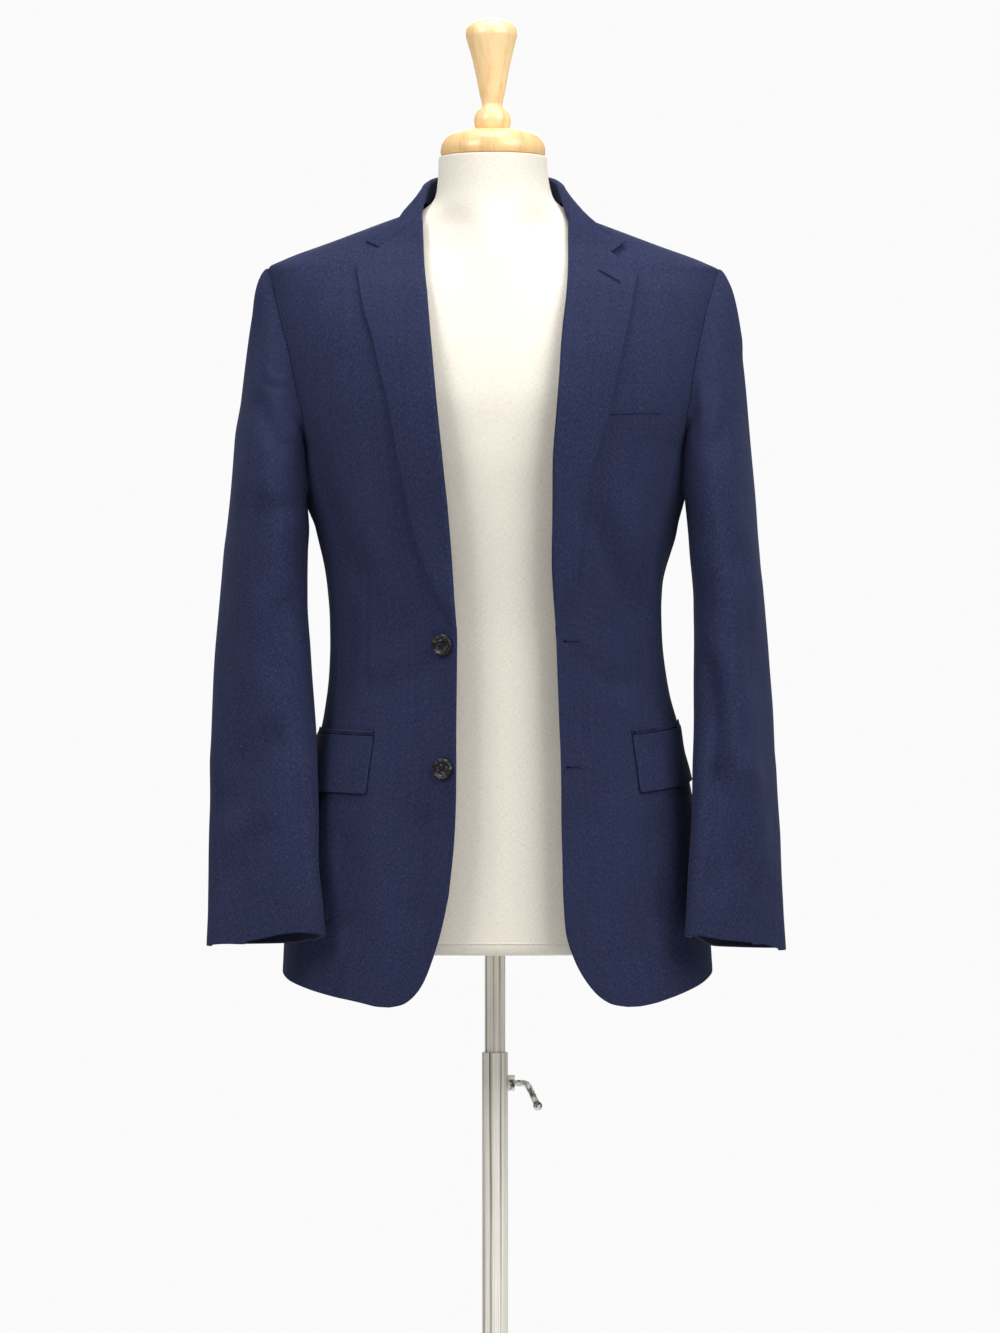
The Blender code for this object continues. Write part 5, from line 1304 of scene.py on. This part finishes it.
def neck_surface(turn, z):
    angle = np.where(turn <= math.pi, turn, 2 * math.pi - turn)
    half, front, back = (table_curve(NECK, k)(z) for k in (1, 2, 3))
    deep = np.where(np.cos(angle) > 0, front, back)
    radius = 1 / np.hypot(np.sin(angle) / half, np.cos(angle) / deep)
    return np.stack([radius * np.sin(turn), -radius * np.cos(turn), z + 0 * turn], -1)


def build_form(canvas, cord):
    """The stuffed body with its neck and the bore in its foot, and the cover's seams."""
    steps = 192
    turn = full_turn(steps)[None]
    low = FORM_FOOT_Z
    z = np.concatenate([np.linspace(0.752, 1.40, 150), np.linspace(1.403, 1.450, 30)])[:, None]
    body = form_surface(turn + 0 * z, z)
    neck_z = np.linspace(1.468, FORM_TOP_Z - 1.2 * MM, 26)[:, None]
    neck = neck_surface(turn + 0 * neck_z, neck_z)
    bridge = lerp(body[-1:], neck[:1], np.linspace(0, 1, 10)[1:-1, None, None])
    top = neck[-1:] * np.array([0.995, 0.995, 1.0]) + np.array([0, 0, 0.8 * MM])
    lid = neck[-1:] * np.array([0.975, 0.975, 1.0]) + np.array([0, 0, 1.2 * MM])
    hem = body[:1] * np.array([0.992, 0.99, 1.0]) - np.array([0, 0, 0.006])
    foot = body[:1] * np.array([0.975, 0.965, 1.0])
    foot[..., 2] = low
    hole = np.stack([np.sin(turn), -np.cos(turn), 0 * turn], -1) * FORM_BORE
    rings = [hole + np.array([0, 0, low + BORE_DEPTH]), hole + np.array([0, 0, low]), foot, hem]
    grid = np.concatenate(rings + [body, bridge, neck, top, lid])
    root = grid[len(rings) + 164: len(rings) + 204]
    for _ in range(14):  # the root of the neck flows into the shoulders
        root[1:-1] = 0.5 * root[1:-1] + 0.25 * (root[2:] + root[:-2])
    grid[..., 0] += CAP_SHIFT * smooth((grid[..., 2] - 1.452) / 0.05)
    around = np.linalg.norm(grid - np.roll(grid, 1, axis=1), axis=2).cumsum(1)
    uv = np.stack([around, grid[..., 2]], -1).reshape(-1, 2)
    hard_piece("form_skin", grid.reshape(-1, 3), ring_faces(len(grid), steps), canvas, "form_body",
               "canvas", uv=uv, sharp=50)
    # the cover's seams: down the side under each arm, and a cord at its foot
    parts = []
    seam_z = np.linspace(0.757, 1.30, 160)
    for at in (0.5, 1.5):
        line = form_surface(np.full_like(seam_z, at * math.pi + 0.02), seam_z)
        parts.append(tube_along(line, 0.5 * MM, 6))
    ring = form_surface(turn[0], np.full(steps, 0.7545))
    parts.append(tube_along(np.concatenate([ring, ring[:1]]), 1.1 * MM, 8))
    joined("form_seams", parts, cord, "canvas")


def build_top(wood, cap_wood_painted_shade):
    r, low, high = CAP_RADIUS, FORM_TOP_Z + SEAM, CAP_TOP_Z
    cap = [
        (0.0, low), (r - 4.5 * MM, low), (r - 1.2 * MM, low + 1.2 * MM), (r - 0.1 * MM, low + 4.0 * MM),
        (r, low + 7.5 * MM), (r - 0.6 * MM, low + 11.0 * MM), (r - 2.2 * MM, low + 15.0 * MM),
        (r - 4.8 * MM, low + 18.8 * MM), (r - 8.2 * MM, low + 21.6 * MM),
        (r - 11.0 * MM, low + 22.9 * MM), (r - 11.8 * MM, low + 23.2 * MM),
        (r - 12.6 * MM, high - 0.2 * MM), (r - 14.0 * MM, high), (0.0, high),
    ]
    at = np.array([CAP_SHIFT, 0.0, 0.0])
    turned("neck_cap_turning", rounded(cap, 1.2 * MM, 4), cap_wood_painted_shade, 144, (at, (0, 0, 1)), node="neck_cap",
           slot="turned_wood", sharp=50)
    profile = Path([
        (12.5, 0.3), (15.5, 3.0), (17.6, 7.5), (18.2, 12.0), (17.2, 17.0), (14.6, 21.5), (11.4, 24.6),
        (10.2, 26.8), (10.6, 30.0), (11.6, 34.0), (13.4, 42.0), (15.6, 54.0), (18.4, 67.0), (21.6, 80.0),
        (24.3, 89.5), (25.6, 95.0), (25.2, 99.5), (22.8, 104.0), (17.5, 107.8), (10.0, 110.2), (0.0, 111.0),
    ])(np.linspace(0, 1, 110))
    rings = [(0.0, high + 0.3 * MM)] + [(r * MM, high + h * MM) for r, h in profile]
    at[0] += FINIAL_SHIFT - FINIAL_LEAN * high
    turned("finial_turning", rings, wood, 128, (at, (FINIAL_LEAN, 0, 1)), node="finial",
           slot="turned_wood", sharp=60)


def pipe(name, outer, inner, low, high, steel, node, body, lip=0.5 * MM):
    profile = np.array([
        (inner, low), (outer - lip, low), (outer, low + lip), (outer, high - lip), (outer - lip, high),
        (inner + 0.2 * MM, high), (inner, high - 0.3 * MM),
    ])
    rings = []
    for a, b in zip(profile, profile[1:]):
        long = abs(b[1] - a[1]) >= 0.1
        rings += [lerp(a, b, t) for t in (np.linspace(0, 1, 9)[:-1] if long else [0.0])]
    rings.append(profile[-1])
    turn = full_turn(96)
    points = [np.stack([r * np.cos(turn), r * np.sin(turn), z + 0 * turn], -1) for r, z in rings]
    faces = ring_faces(len(points), len(turn), closed=True)
    hard_piece(name, np.concatenate(points), faces, steel, node, "steel", body=body, sharp=40)


def build_stand(steel, plate, dark):
    bore, foot = FORM_BORE, PLATE_THICK + SEAM
    inner_top = FORM_FOOT_Z + BORE_DEPTH - SEAM
    pipe("outer_pipe", OUTER_TUBE, bore, foot, TUBE_TOP_Z, steel, "outer_tube", "stand")
    pipe("inner_pipe", INNER_TUBE, 8.5 * MM, 0.300, inner_top, steel, "inner_tube", "pole")
    pipe("boss_ring", 24 * MM, OUTER_TUBE + SEAM, foot, 32 * MM, steel, "base_boss", "stand", 2.2 * MM)
    r, h = PLATE_RADIUS, PLATE_THICK
    disc = rounded([
        (0.0, 0.0), (r - 1 * MM, 0.0), (r, 1 * MM), (r, 7 * MM), (r - 3 * MM, 9.4 * MM),
        (r - 5 * MM, h), (0.0, h),
    ], 1.2 * MM, 4)
    turned("base_disc", disc, plate, 192, node="base_plate", body="stand", sharp=50)
    build_nut(dark)
    build_handle(dark)


def build_nut(steel):
    """The clamp's six-sided nut, on the side of the outer tube."""
    start, length = OUTER_TUBE + SEAM, 6.5 * MM
    turn = full_turn(72)
    flat = (turn + math.pi / 6) % (math.pi / 3) - math.pi / 6
    hexagon = 6.75 * MM / np.cos(flat)
    chamfer = np.minimum(hexagon, 7.35 * MM) * 0.98
    bore = np.full(len(turn), 3.3 * MM)
    rings = [
        np.stack([start + x + 0 * turn, r * np.cos(turn), CLAMP_Z + r * np.sin(turn)], -1)
        for x, r in (
            (0, bore), (0, chamfer), (0.7 * MM, hexagon), (length - 0.7 * MM, hexagon),
            (length, chamfer), (length, bore + 0.4 * MM), (length - 0.4 * MM, bore),
        )
    ]
    faces = ring_faces(len(rings), len(turn), closed=True, flip=True)
    hard_piece("hex_nut", np.concatenate(rings), faces, steel, "clamp_nut", "steel", body="stand",
               sharp=25)


def build_handle(steel):
    """The clamp's bent screw, from inside its nut to the ball at its end."""
    route = [(13.1, 0.0), (24.5, 0.0), (26, 0), (31, -1.5), (34.5, -7), (38, -14.5), (40.3, -19.5)]
    line = Path([(x * MM, CLAMP_Z + z * MM) for x, z in route])(np.linspace(0, 1, 60))
    rod, ball, thread_end = 3.0 * MM, 4.5 * MM, 19.6 * MM
    way = unit(np.gradient(line, axis=0))
    across = np.stack([-way[:, 1], way[:, 0]], -1)
    travel = run_lengths(line)
    rings = []
    for i, (x, z) in enumerate(line):
        r = rod
        if x < thread_end:  # the thread's turns show where it enters the nut
            r -= 0.35 * MM * (0.5 + 0.5 * math.cos(2 * math.pi * travel[i] / MM))
        rings.append((x, z, across[i], way[i], r, 0.0))
    for polar in np.linspace(52, 176, 16):
        a = math.radians(polar)
        ahead = ball * (math.cos(math.radians(41.8)) - math.cos(a))
        rings.append((*line[-1], across[-1], way[-1], ball * math.sin(a), ahead))
    turn = full_turn(24)
    points = []
    for x, z, side, forward, r, ahead in rings:
        c, s = r * np.cos(turn), r * np.sin(turn)
        points.append(np.stack([
            x + side[0] * c + forward[0] * ahead, s, z + side[1] * c + forward[1] * ahead,
        ], -1))
    faces = ring_faces(len(points), len(turn), flip=True)
    hard_piece("clamp_handle", np.concatenate(points), faces, steel, "clamp_screw", "steel",
               body="clamp", sharp=50)


# ------------------------------------------------------------------ materials
class Tree:
    """A short way to write nodes."""

    def __init__(self, tree):
        self.tree = tree

    def add(self, kind, settings=(), **inputs):
        """A node; i0, i1 and so on are its numbered inputs."""
        node = self.tree.nodes.new(kind)
        for key, value in dict(settings).items():
            setattr(node, key, value)
        for key, value in inputs.items():
            numbered = key[0] == "i" and key[1:].isdigit()
            self.put(node.inputs[int(key[1:]) if numbered else key.replace("_", " ")], value)
        return node

    def put(self, socket, value):
        if isinstance(value, bpy.types.NodeSocket):
            self.tree.links.new(value, socket)
        elif hasattr(value, "outputs"):
            self.tree.links.new(value.outputs[0], socket)
        else:
            socket.default_value = value

    def place(self, source, scale):
        coordinates = self.add("ShaderNodeTexCoord")
        return self.add("ShaderNodeMapping", Vector=coordinates.outputs[source], Scale=scale)

    def noise(self, at, scale, detail=2.0, roughness=0.5):
        return self.add("ShaderNodeTexNoise", Vector=at, Scale=scale, Detail=detail, Roughness=roughness)

    def grain(self, source, scale, detail=2.0, roughness=0.5):
        """Noise drawn out along the axes where the scale is small."""
        return self.noise(self.place(source, scale), 1.0, detail, roughness)

    def bands(self, direction, scale, **more):
        settings = {"wave_type": "BANDS", "bands_direction": direction}
        wave = self.add("ShaderNodeTexWave", settings, Vector=self.place("UV", scale), Scale=1.0, **more)
        return wave.outputs[1]

    def ramp(self, fac, stops):
        node = self.add("ShaderNodeValToRGB", Fac=fac)
        elements = node.color_ramp.elements
        while len(elements) < len(stops):
            elements.new(0.5)
        for element, (position, value) in zip(elements, stops):
            element.position = position
            element.color = (*value, 1.0) if isinstance(value, tuple) else (value, value, value, 1.0)
        return node

    def math(self, operation, a, b=0.5, **more):
        return self.add("ShaderNodeMath", {"operation": operation}, i0=a, i1=b, **more)

    def mix(self, fac, a, b, blend="MIX"):
        node = self.add("ShaderNodeMix", {"data_type": "RGBA", "blend_type": blend})
        for number, value in ((0, fac), (6, a), (7, b)):
            self.put(node.inputs[number], (*value, 1.0) if isinstance(value, tuple) else value)
        return node.outputs[2]

    def bump(self, height, strength, distance, **more):
        return self.add("ShaderNodeBump", Height=height, Strength=strength, Distance=distance, **more)


class Nodes(Tree):
    """The nodes of a new material, which is kept in MATERIALS."""

    def __init__(self, name, **shader):
        MATERIALS[name] = material = bpy.data.materials.new(name)
        material.use_nodes = True
        super().__init__(material.node_tree)
        self.shader = self.tree.nodes["Principled BSDF"]
        for key, value in shader.items():
            self.shader.inputs[key.replace("_", " ")].default_value = value

    def finish(self, color, roughness=None, normal=None):
        for key, value in (("Base Color", color), ("Roughness", roughness), ("Normal", normal)):
            if value is not None:
                self.put(self.shader.inputs[key], value)


MATERIALS = {}
PLAIN = (  # name, where its grain lies and how, dark, light, bump's strength and depth, shader
    ("lining satin", "UV", (240.0, 2200.0, 1.0), (0.008, 0.010, 0.026), (0.015, 0.018, 0.042),
     (0.2, 0.00008), {"Roughness": 0.55, "Specular_IOR_Level": 0.22}),
    ("thread", "Object", (2600.0, 2600.0, 1400.0), (0.010, 0.012, 0.032), (0.024, 0.029, 0.068),
     (0.5, 0.0002), {"Roughness": 0.8, "Specular_IOR_Level": 0.15}),
    # the slit: a near-black sheet laid in each buttonhole, painted shade of its opening
    ("slit", "Object", (900.0, 900.0, 900.0), (0.002, 0.002, 0.005), (0.006, 0.007, 0.016),
     None, {"Roughness": 0.95, "Specular_IOR_Level": 0.0}),
    ("cotton cord", "Object", (900.0, 900.0, 900.0), (0.66, 0.61, 0.52), (0.82, 0.78, 0.69),
     (0.4, 0.0003), {"Roughness": 0.85, "Sheen_Weight": 0.15}),
)
WOODS = (  # name, deep, pale
    ("finial wood", (0.78, 0.490, 0.215), (0.91, 0.670, 0.355)),
    # the cap's colours are the finial's wood made darker: painted shade that holds back the strong light on
    # the cap's upward-facing top
    ("cap wood, painted shade", (0.70, 0.415, 0.165), (0.84, 0.565, 0.265)),
)
STEELS = (  # name, scale of its bands, scale of its fine lines, roughness, colours; the tubes' steel has dark and near-white bands that are painted reflections
    ("steel with painted reflections", (300.0, 300.0, 1.6), (1400.0, 1400.0, 5.0), 0.24, (
        (0.34, (0.12, 0.11, 0.09)), (0.39, (0.62, 0.58, 0.49)), (0.47, (0.90, 0.86, 0.76)),
        (0.60, (1.0, 0.965, 0.89)),
    )),
    ("plate steel", (5.0, 60.0, 60.0), (16.0, 900.0, 900.0), 0.34, (
        (0.25, (0.52, 0.505, 0.46)), (0.50, (0.66, 0.645, 0.60)), (0.75, (0.76, 0.75, 0.71)),
    )),
)


def make_wool():
    """Milled worsted: warp and weft yarns of mixed colour with light flecks."""
    n = Nodes("navy wool", Sheen_Weight=0.06, Sheen_Roughness=0.40, Sheen_Tint=(0.62, 0.70, 1.0, 1.0),
              Specular_IOR_Level=0.08, Roughness=0.92)
    dark, mid, light = (0.0115, 0.0140, 0.0390), (0.0205, 0.0250, 0.0620), (0.036, 0.043, 0.098)
    warp = n.grain("UV", (1150.0, 260.0, 1.0), 3.0, 0.65)
    weft = n.grain("UV", (300.0, 1250.0, 1.0), 3.0, 0.65)
    yarn = n.math("ADD", warp, n.math("MULTIPLY", weft, 0.9))
    body = n.ramp(n.math("MULTIPLY", yarn, 0.526), [(0.36, dark), (0.50, mid), (0.66, light)])
    flecks = n.grain("UV", (880.0, 300.0, 1.0))
    spots = n.ramp(flecks, [(0.58, 0.0), (0.76, 1.0)])
    broad = n.noise(n.place("Object", (1.0, 1.0, 1.0)), 14.0, 3.0, 0.55)
    slub = n.grain("UV", (210.0, 14.0, 1.0), 2.0, 0.6)
    shade = n.ramp(n.math("MULTIPLY", n.math("ADD", broad, slub), 0.5), [(0.3, 0.86), (0.7, 1.12)])
    color = n.mix(n.math("MULTIPLY", spots, 0.45), body, (0.075, 0.090, 0.170))
    color = n.mix(1.0, color, shade.outputs[0], "MULTIPLY")
    twill = n.bands("DIAGONAL", (620.0, 620.0, 620.0), Distortion=0.6, Detail=1.0)
    normal = n.bump(n.math("ADD", n.math("MULTIPLY", twill, 0.35), yarn), 0.55, 0.00012)
    fuzz = n.noise(n.place("Object", (1.0, 1.0, 1.0)), 420.0)
    normal = n.bump(fuzz, 0.30, 0.0003, Normal=normal)
    n.finish(color, n.ramp(flecks, [(0.3, 0.82), (0.7, 0.95)]), normal)


def make_horn():
    n = Nodes("horn", Roughness=0.3, Coat_Weight=0.1, Coat_Roughness=0.12, Specular_IOR_Level=0.26)
    streak = n.grain("Object", (330.0, 330.0, 620.0), 4.0, 0.65)
    cloud = n.noise(n.place("Object", (1.0, 1.0, 1.0)), 240.0, 5.0, 0.7)
    color = n.ramp(streak, [
        (0.34, (0.003, 0.003, 0.004)), (0.50, (0.011, 0.010, 0.011)),
        (0.58, (0.050, 0.042, 0.038)), (0.67, (0.28, 0.25, 0.23)),
    ])
    color = n.mix(n.ramp(cloud, [(0.40, 0.85), (0.54, 0.0)]), color, (0.005, 0.004, 0.004))
    n.finish(color, n.ramp(cloud, [(0.3, 0.26), (0.7, 0.42)]), n.bump(cloud, 0.10, 0.0003))


def make_canvas():
    n = Nodes("canvas", Sheen_Weight=0.15, Roughness=0.9, Specular_IOR_Level=0.2)
    warp = n.grain("UV", (1700.0, 240.0, 1.0), 2.0, 0.6)
    weft = n.grain("UV", (240.0, 1700.0, 1.0), 2.0, 0.6)
    yarn = n.math("MULTIPLY", n.math("ADD", warp, weft), 0.5)
    color = n.ramp(yarn, [
        (0.36, (0.68, 0.63, 0.53)), (0.50, (0.78, 0.735, 0.64)), (0.64, (0.84, 0.80, 0.72)),
    ])
    slub = n.ramp(n.grain("UV", (60.0, 1300.0, 1.0), 1.0), [(0.62, 0.0), (0.72, 1.0)])
    color = n.mix(n.math("MULTIPLY", slub, 0.25), color, (0.66, 0.60, 0.50))
    weave = n.math("ADD", *(n.bands(way, (560.0, 560.0, 1.0)) for way in "XY"))
    height = n.math("ADD", weave, n.math("MULTIPLY", yarn, 3.0))
    n.finish(color, None, n.bump(height, 0.35, 0.00012))


def make_wood(name, deep, pale):
    n = Nodes(name, Roughness=0.42, Coat_Weight=0.28, Coat_Roughness=0.16)
    wander = n.grain("Object", (24.0, 24.0, 7.0), 3.0, 0.6)
    bend = n.add("ShaderNodeVectorMath", {"operation": "SCALE"}, i0=wander.outputs[1], Scale=2.6)
    rings = n.place("Object", (95.0, 60.0, 9.0))
    grain = n.noise(n.add("ShaderNodeVectorMath", {"operation": "ADD"}, i0=rings, i1=bend), 1.0, 4.0, 0.55)
    fine = n.grain("Object", (520.0, 520.0, 26.0), 3.0, 0.6)
    pores = n.grain("Object", (1500.0, 1500.0, 75.0), 2.0, 0.6)
    both = n.math("ADD", n.math("MULTIPLY", grain, 0.72), n.math("MULTIPLY", fine, 0.28))
    between = tuple((a + 2 * b) / 3 for a, b in zip(deep, pale))
    color = n.ramp(both, [(0.34, deep), (0.46, between), (0.58, pale), (0.70, between)])
    spots = n.math("MULTIPLY", n.ramp(pores, [(0.60, 0.0), (0.72, 1.0)]), 0.16)
    color = n.mix(spots, color, (0.56, 0.32, 0.13))
    n.finish(color, n.ramp(pores, [(0.3, 0.30), (0.7, 0.42)]), n.bump(pores, 0.08, 0.0001))


def make_steel(name, band_scale, line_scale, rough, stops):
    n = Nodes(name, Metallic=0.22, Roughness=rough)
    # bands: on the tubes' steel, dark and near-white stripes round the tube that are painted reflections;
    # on the plate, its own tone
    bands = n.grain("Object", band_scale, 3.0, 0.55)
    lines = n.grain("Object", line_scale, 3.0, 0.6)
    cloud = n.grain("Object", (16.0, 16.0, 16.0), 3.0, 0.6)
    stain = n.ramp(cloud, [(0.35, 0.0), (0.75, 0.18)])
    color = n.mix(stain, n.ramp(bands, stops), (0.56, 0.52, 0.43))
    gloss = n.ramp(lines, [(0.3, rough - 0.06), (0.7, rough + 0.10)])
    n.finish(color, gloss, n.bump(lines, 0.12, 0.00008))


def make_dark_steel():
    n = Nodes("dark steel", Metallic=0.5, Roughness=0.26)
    painted_reflection_mottle = n.grain("Object", (190.0, 190.0, 190.0), 4.0, 0.6)
    # a dark to near-white mottle on the nut and screw: painted reflections of bright steel
    color = n.ramp(painted_reflection_mottle, [
        (0.38, (0.12, 0.118, 0.11)), (0.48, (0.52, 0.51, 0.48)), (0.58, (0.94, 0.93, 0.90)),
    ])
    n.finish(color, n.ramp(painted_reflection_mottle, [(0.3, 0.24), (0.7, 0.40)]), n.bump(painted_reflection_mottle, 0.10, 0.0002))


def make_floor():
    """Pale near the object; towards its rim it glows in the backdrop's own colour."""
    n = Nodes("floor", Roughness=0.85, Specular_IOR_Level=0.0, Emission_Color=(*BACKDROP, 1.0))
    place = n.place("Object", (1 / FLOOR_RADIUS,) * 3)
    reach = n.add("ShaderNodeTexGradient", {"gradient_type": "SPHERICAL"}, Vector=place).outputs[1]
    rim, middle = FLOOR_FADE
    n.put(n.shader.inputs["Emission Strength"], n.ramp(reach, [(rim, 1.0), (middle, 0.0)]))
    mottle = n.noise(n.place("Object", (1.0, 1.0, 1.0)), 2.2, 3.0)
    pale = n.ramp(mottle, [(0.2, (0.80, 0.80, 0.803)), (0.8, (0.83, 0.83, 0.83))])
    n.finish(n.mix(n.ramp(reach, [(rim, 0.0), (middle, 1.0)]), (0.0, 0.0, 0.0), pale))


def make_materials():
    make_wool()
    for name, source, scale, dark, light, bump, shader in PLAIN:
        n = Nodes(name, **shader)
        grain = n.grain(source, scale)
        n.finish(n.ramp(grain, [(0.3, dark), (0.7, light)]), None, n.bump(grain, *bump) if bump else None)
    make_horn()
    make_canvas()
    for wood in WOODS:
        make_wood(*wood)
    for steel in STEELS:
        make_steel(*steel)
    make_dark_steel()
    make_floor()


# ---------------------------------------------------------------------- stage
BACKDROP = (0.962, 0.960, 0.964)
FLOOR_RADIUS, FLOOR_FADE = 2.4, (0.20, 0.80)
LAMPS = (  # name, place, size, power
    ("left", (-1.5, -1.5, 2.3), 1.0, 30.0), ("right", (1.45, -1.45, 2.4), 1.5, 48.0),
    ("top", (0.0, -0.1, 3.1), 1.2, 31.0), ("back", (0.0, 2.4, 2.4), 1.6, 24.0),
)
LAMPS_AIM = (0.0, 0.0, 1.15)
CAMERA_PLACE, CAMERA_DISTANCE = (0.0049, -5.0, 1.018), 5.0
SENSOR_WIDTH, FRAME_WIDTH = 36.0, 0.975


def build_world():
    """A soft sky that is brighter in front, behind a plain pale backdrop."""
    world = bpy.data.worlds.new("studio")
    bpy.context.scene.world = world
    world.use_nodes = True
    n = Tree(world.node_tree)
    sight = n.add("ShaderNodeTexCoord").outputs["Generated"]
    depth = n.add("ShaderNodeSeparateXYZ", i0=sight).outputs["Y"]
    half = n.math("MULTIPLY_ADD", depth, 0.5, i2=0.5)
    stops = [(at, (value, value * 0.998, value * 1.002)) for at, value in ((0.10, 0.18), (0.90, 0.30))]
    eye = n.add("ShaderNodeLightPath").outputs["Is Camera Ray"]
    seen = n.mix(eye, n.ramp(half, stops), BACKDROP)
    n.put(n.tree.nodes["Background"].inputs["Color"], seen)


def build_stage():
    bpy.context.scene.view_settings.view_transform = "Standard"
    turn = full_turn(96)
    points = np.stack([FLOOR_RADIUS * np.cos(turn), FLOOR_RADIUS * np.sin(turn), 0 * turn - 0.0005], -1)
    ground = new_mesh("floor", points, [range(len(turn))], [MATERIALS["floor"]], body=None)
    build_world()
    for name, place, size, power in LAMPS:
        light = bpy.data.lights.new(name, "AREA")
        light.size, light.energy = size, power
        lamp = bpy.data.objects.new(name, light)
        bpy.context.scene.collection.objects.link(lamp)
        lamp.location = place
        aim = unit(np.array(LAMPS_AIM) - np.array(place))
        lamp.rotation_euler = (math.acos(-aim[2]), 0.0, math.atan2(-aim[0], aim[1]))
    camera = bpy.data.cameras.new("camera")
    camera.sensor_fit, camera.sensor_width = "HORIZONTAL", SENSOR_WIDTH
    camera.lens = SENSOR_WIDTH * CAMERA_DISTANCE / FRAME_WIDTH
    camera.clip_end = 100.0
    seat = bpy.data.objects.new("camera", camera)
    bpy.context.scene.collection.objects.link(seat)
    seat.location = CAMERA_PLACE
    seat.rotation_euler = (math.pi / 2, 0.0, 0.0)
    bpy.context.scene.camera = seat


def main():
    make_materials()
    m = MATERIALS
    wool, lined = [m["navy wool"]], [m["navy wool"], m["lining satin"]]
    for side in (LEFT, RIGHT):
        build_front(side, wool)
        build_side(side, lined)
        build_back(side, lined)
        build_sleeve(side, lined)
        build_lapel(side, wool)
        build_pocket(side, wool)
    build_collar(wool)
    build_welt(wool)
    for number, (x, z) in enumerate(BUTTONS, 1):
        build_button(f"button_{number}", x, z, m["horn"], m["thread"])
    for name, start, end, lift, eyelet in BUTTONHOLES:
        build_buttonhole(name, LEFT, start, end, lift, m["thread"], m["slit"], eyelet)
    build_form(m["canvas"], m["cotton cord"])
    build_top(m["finial wood"], m["cap wood, painted shade"])
    build_stand(m["steel with painted reflections"], m["plate steel"], m["dark steel"])
    build_stage()
    for thing, flat, area in SHEETS:
        area = min(area, flat[0] * flat[1])


main()
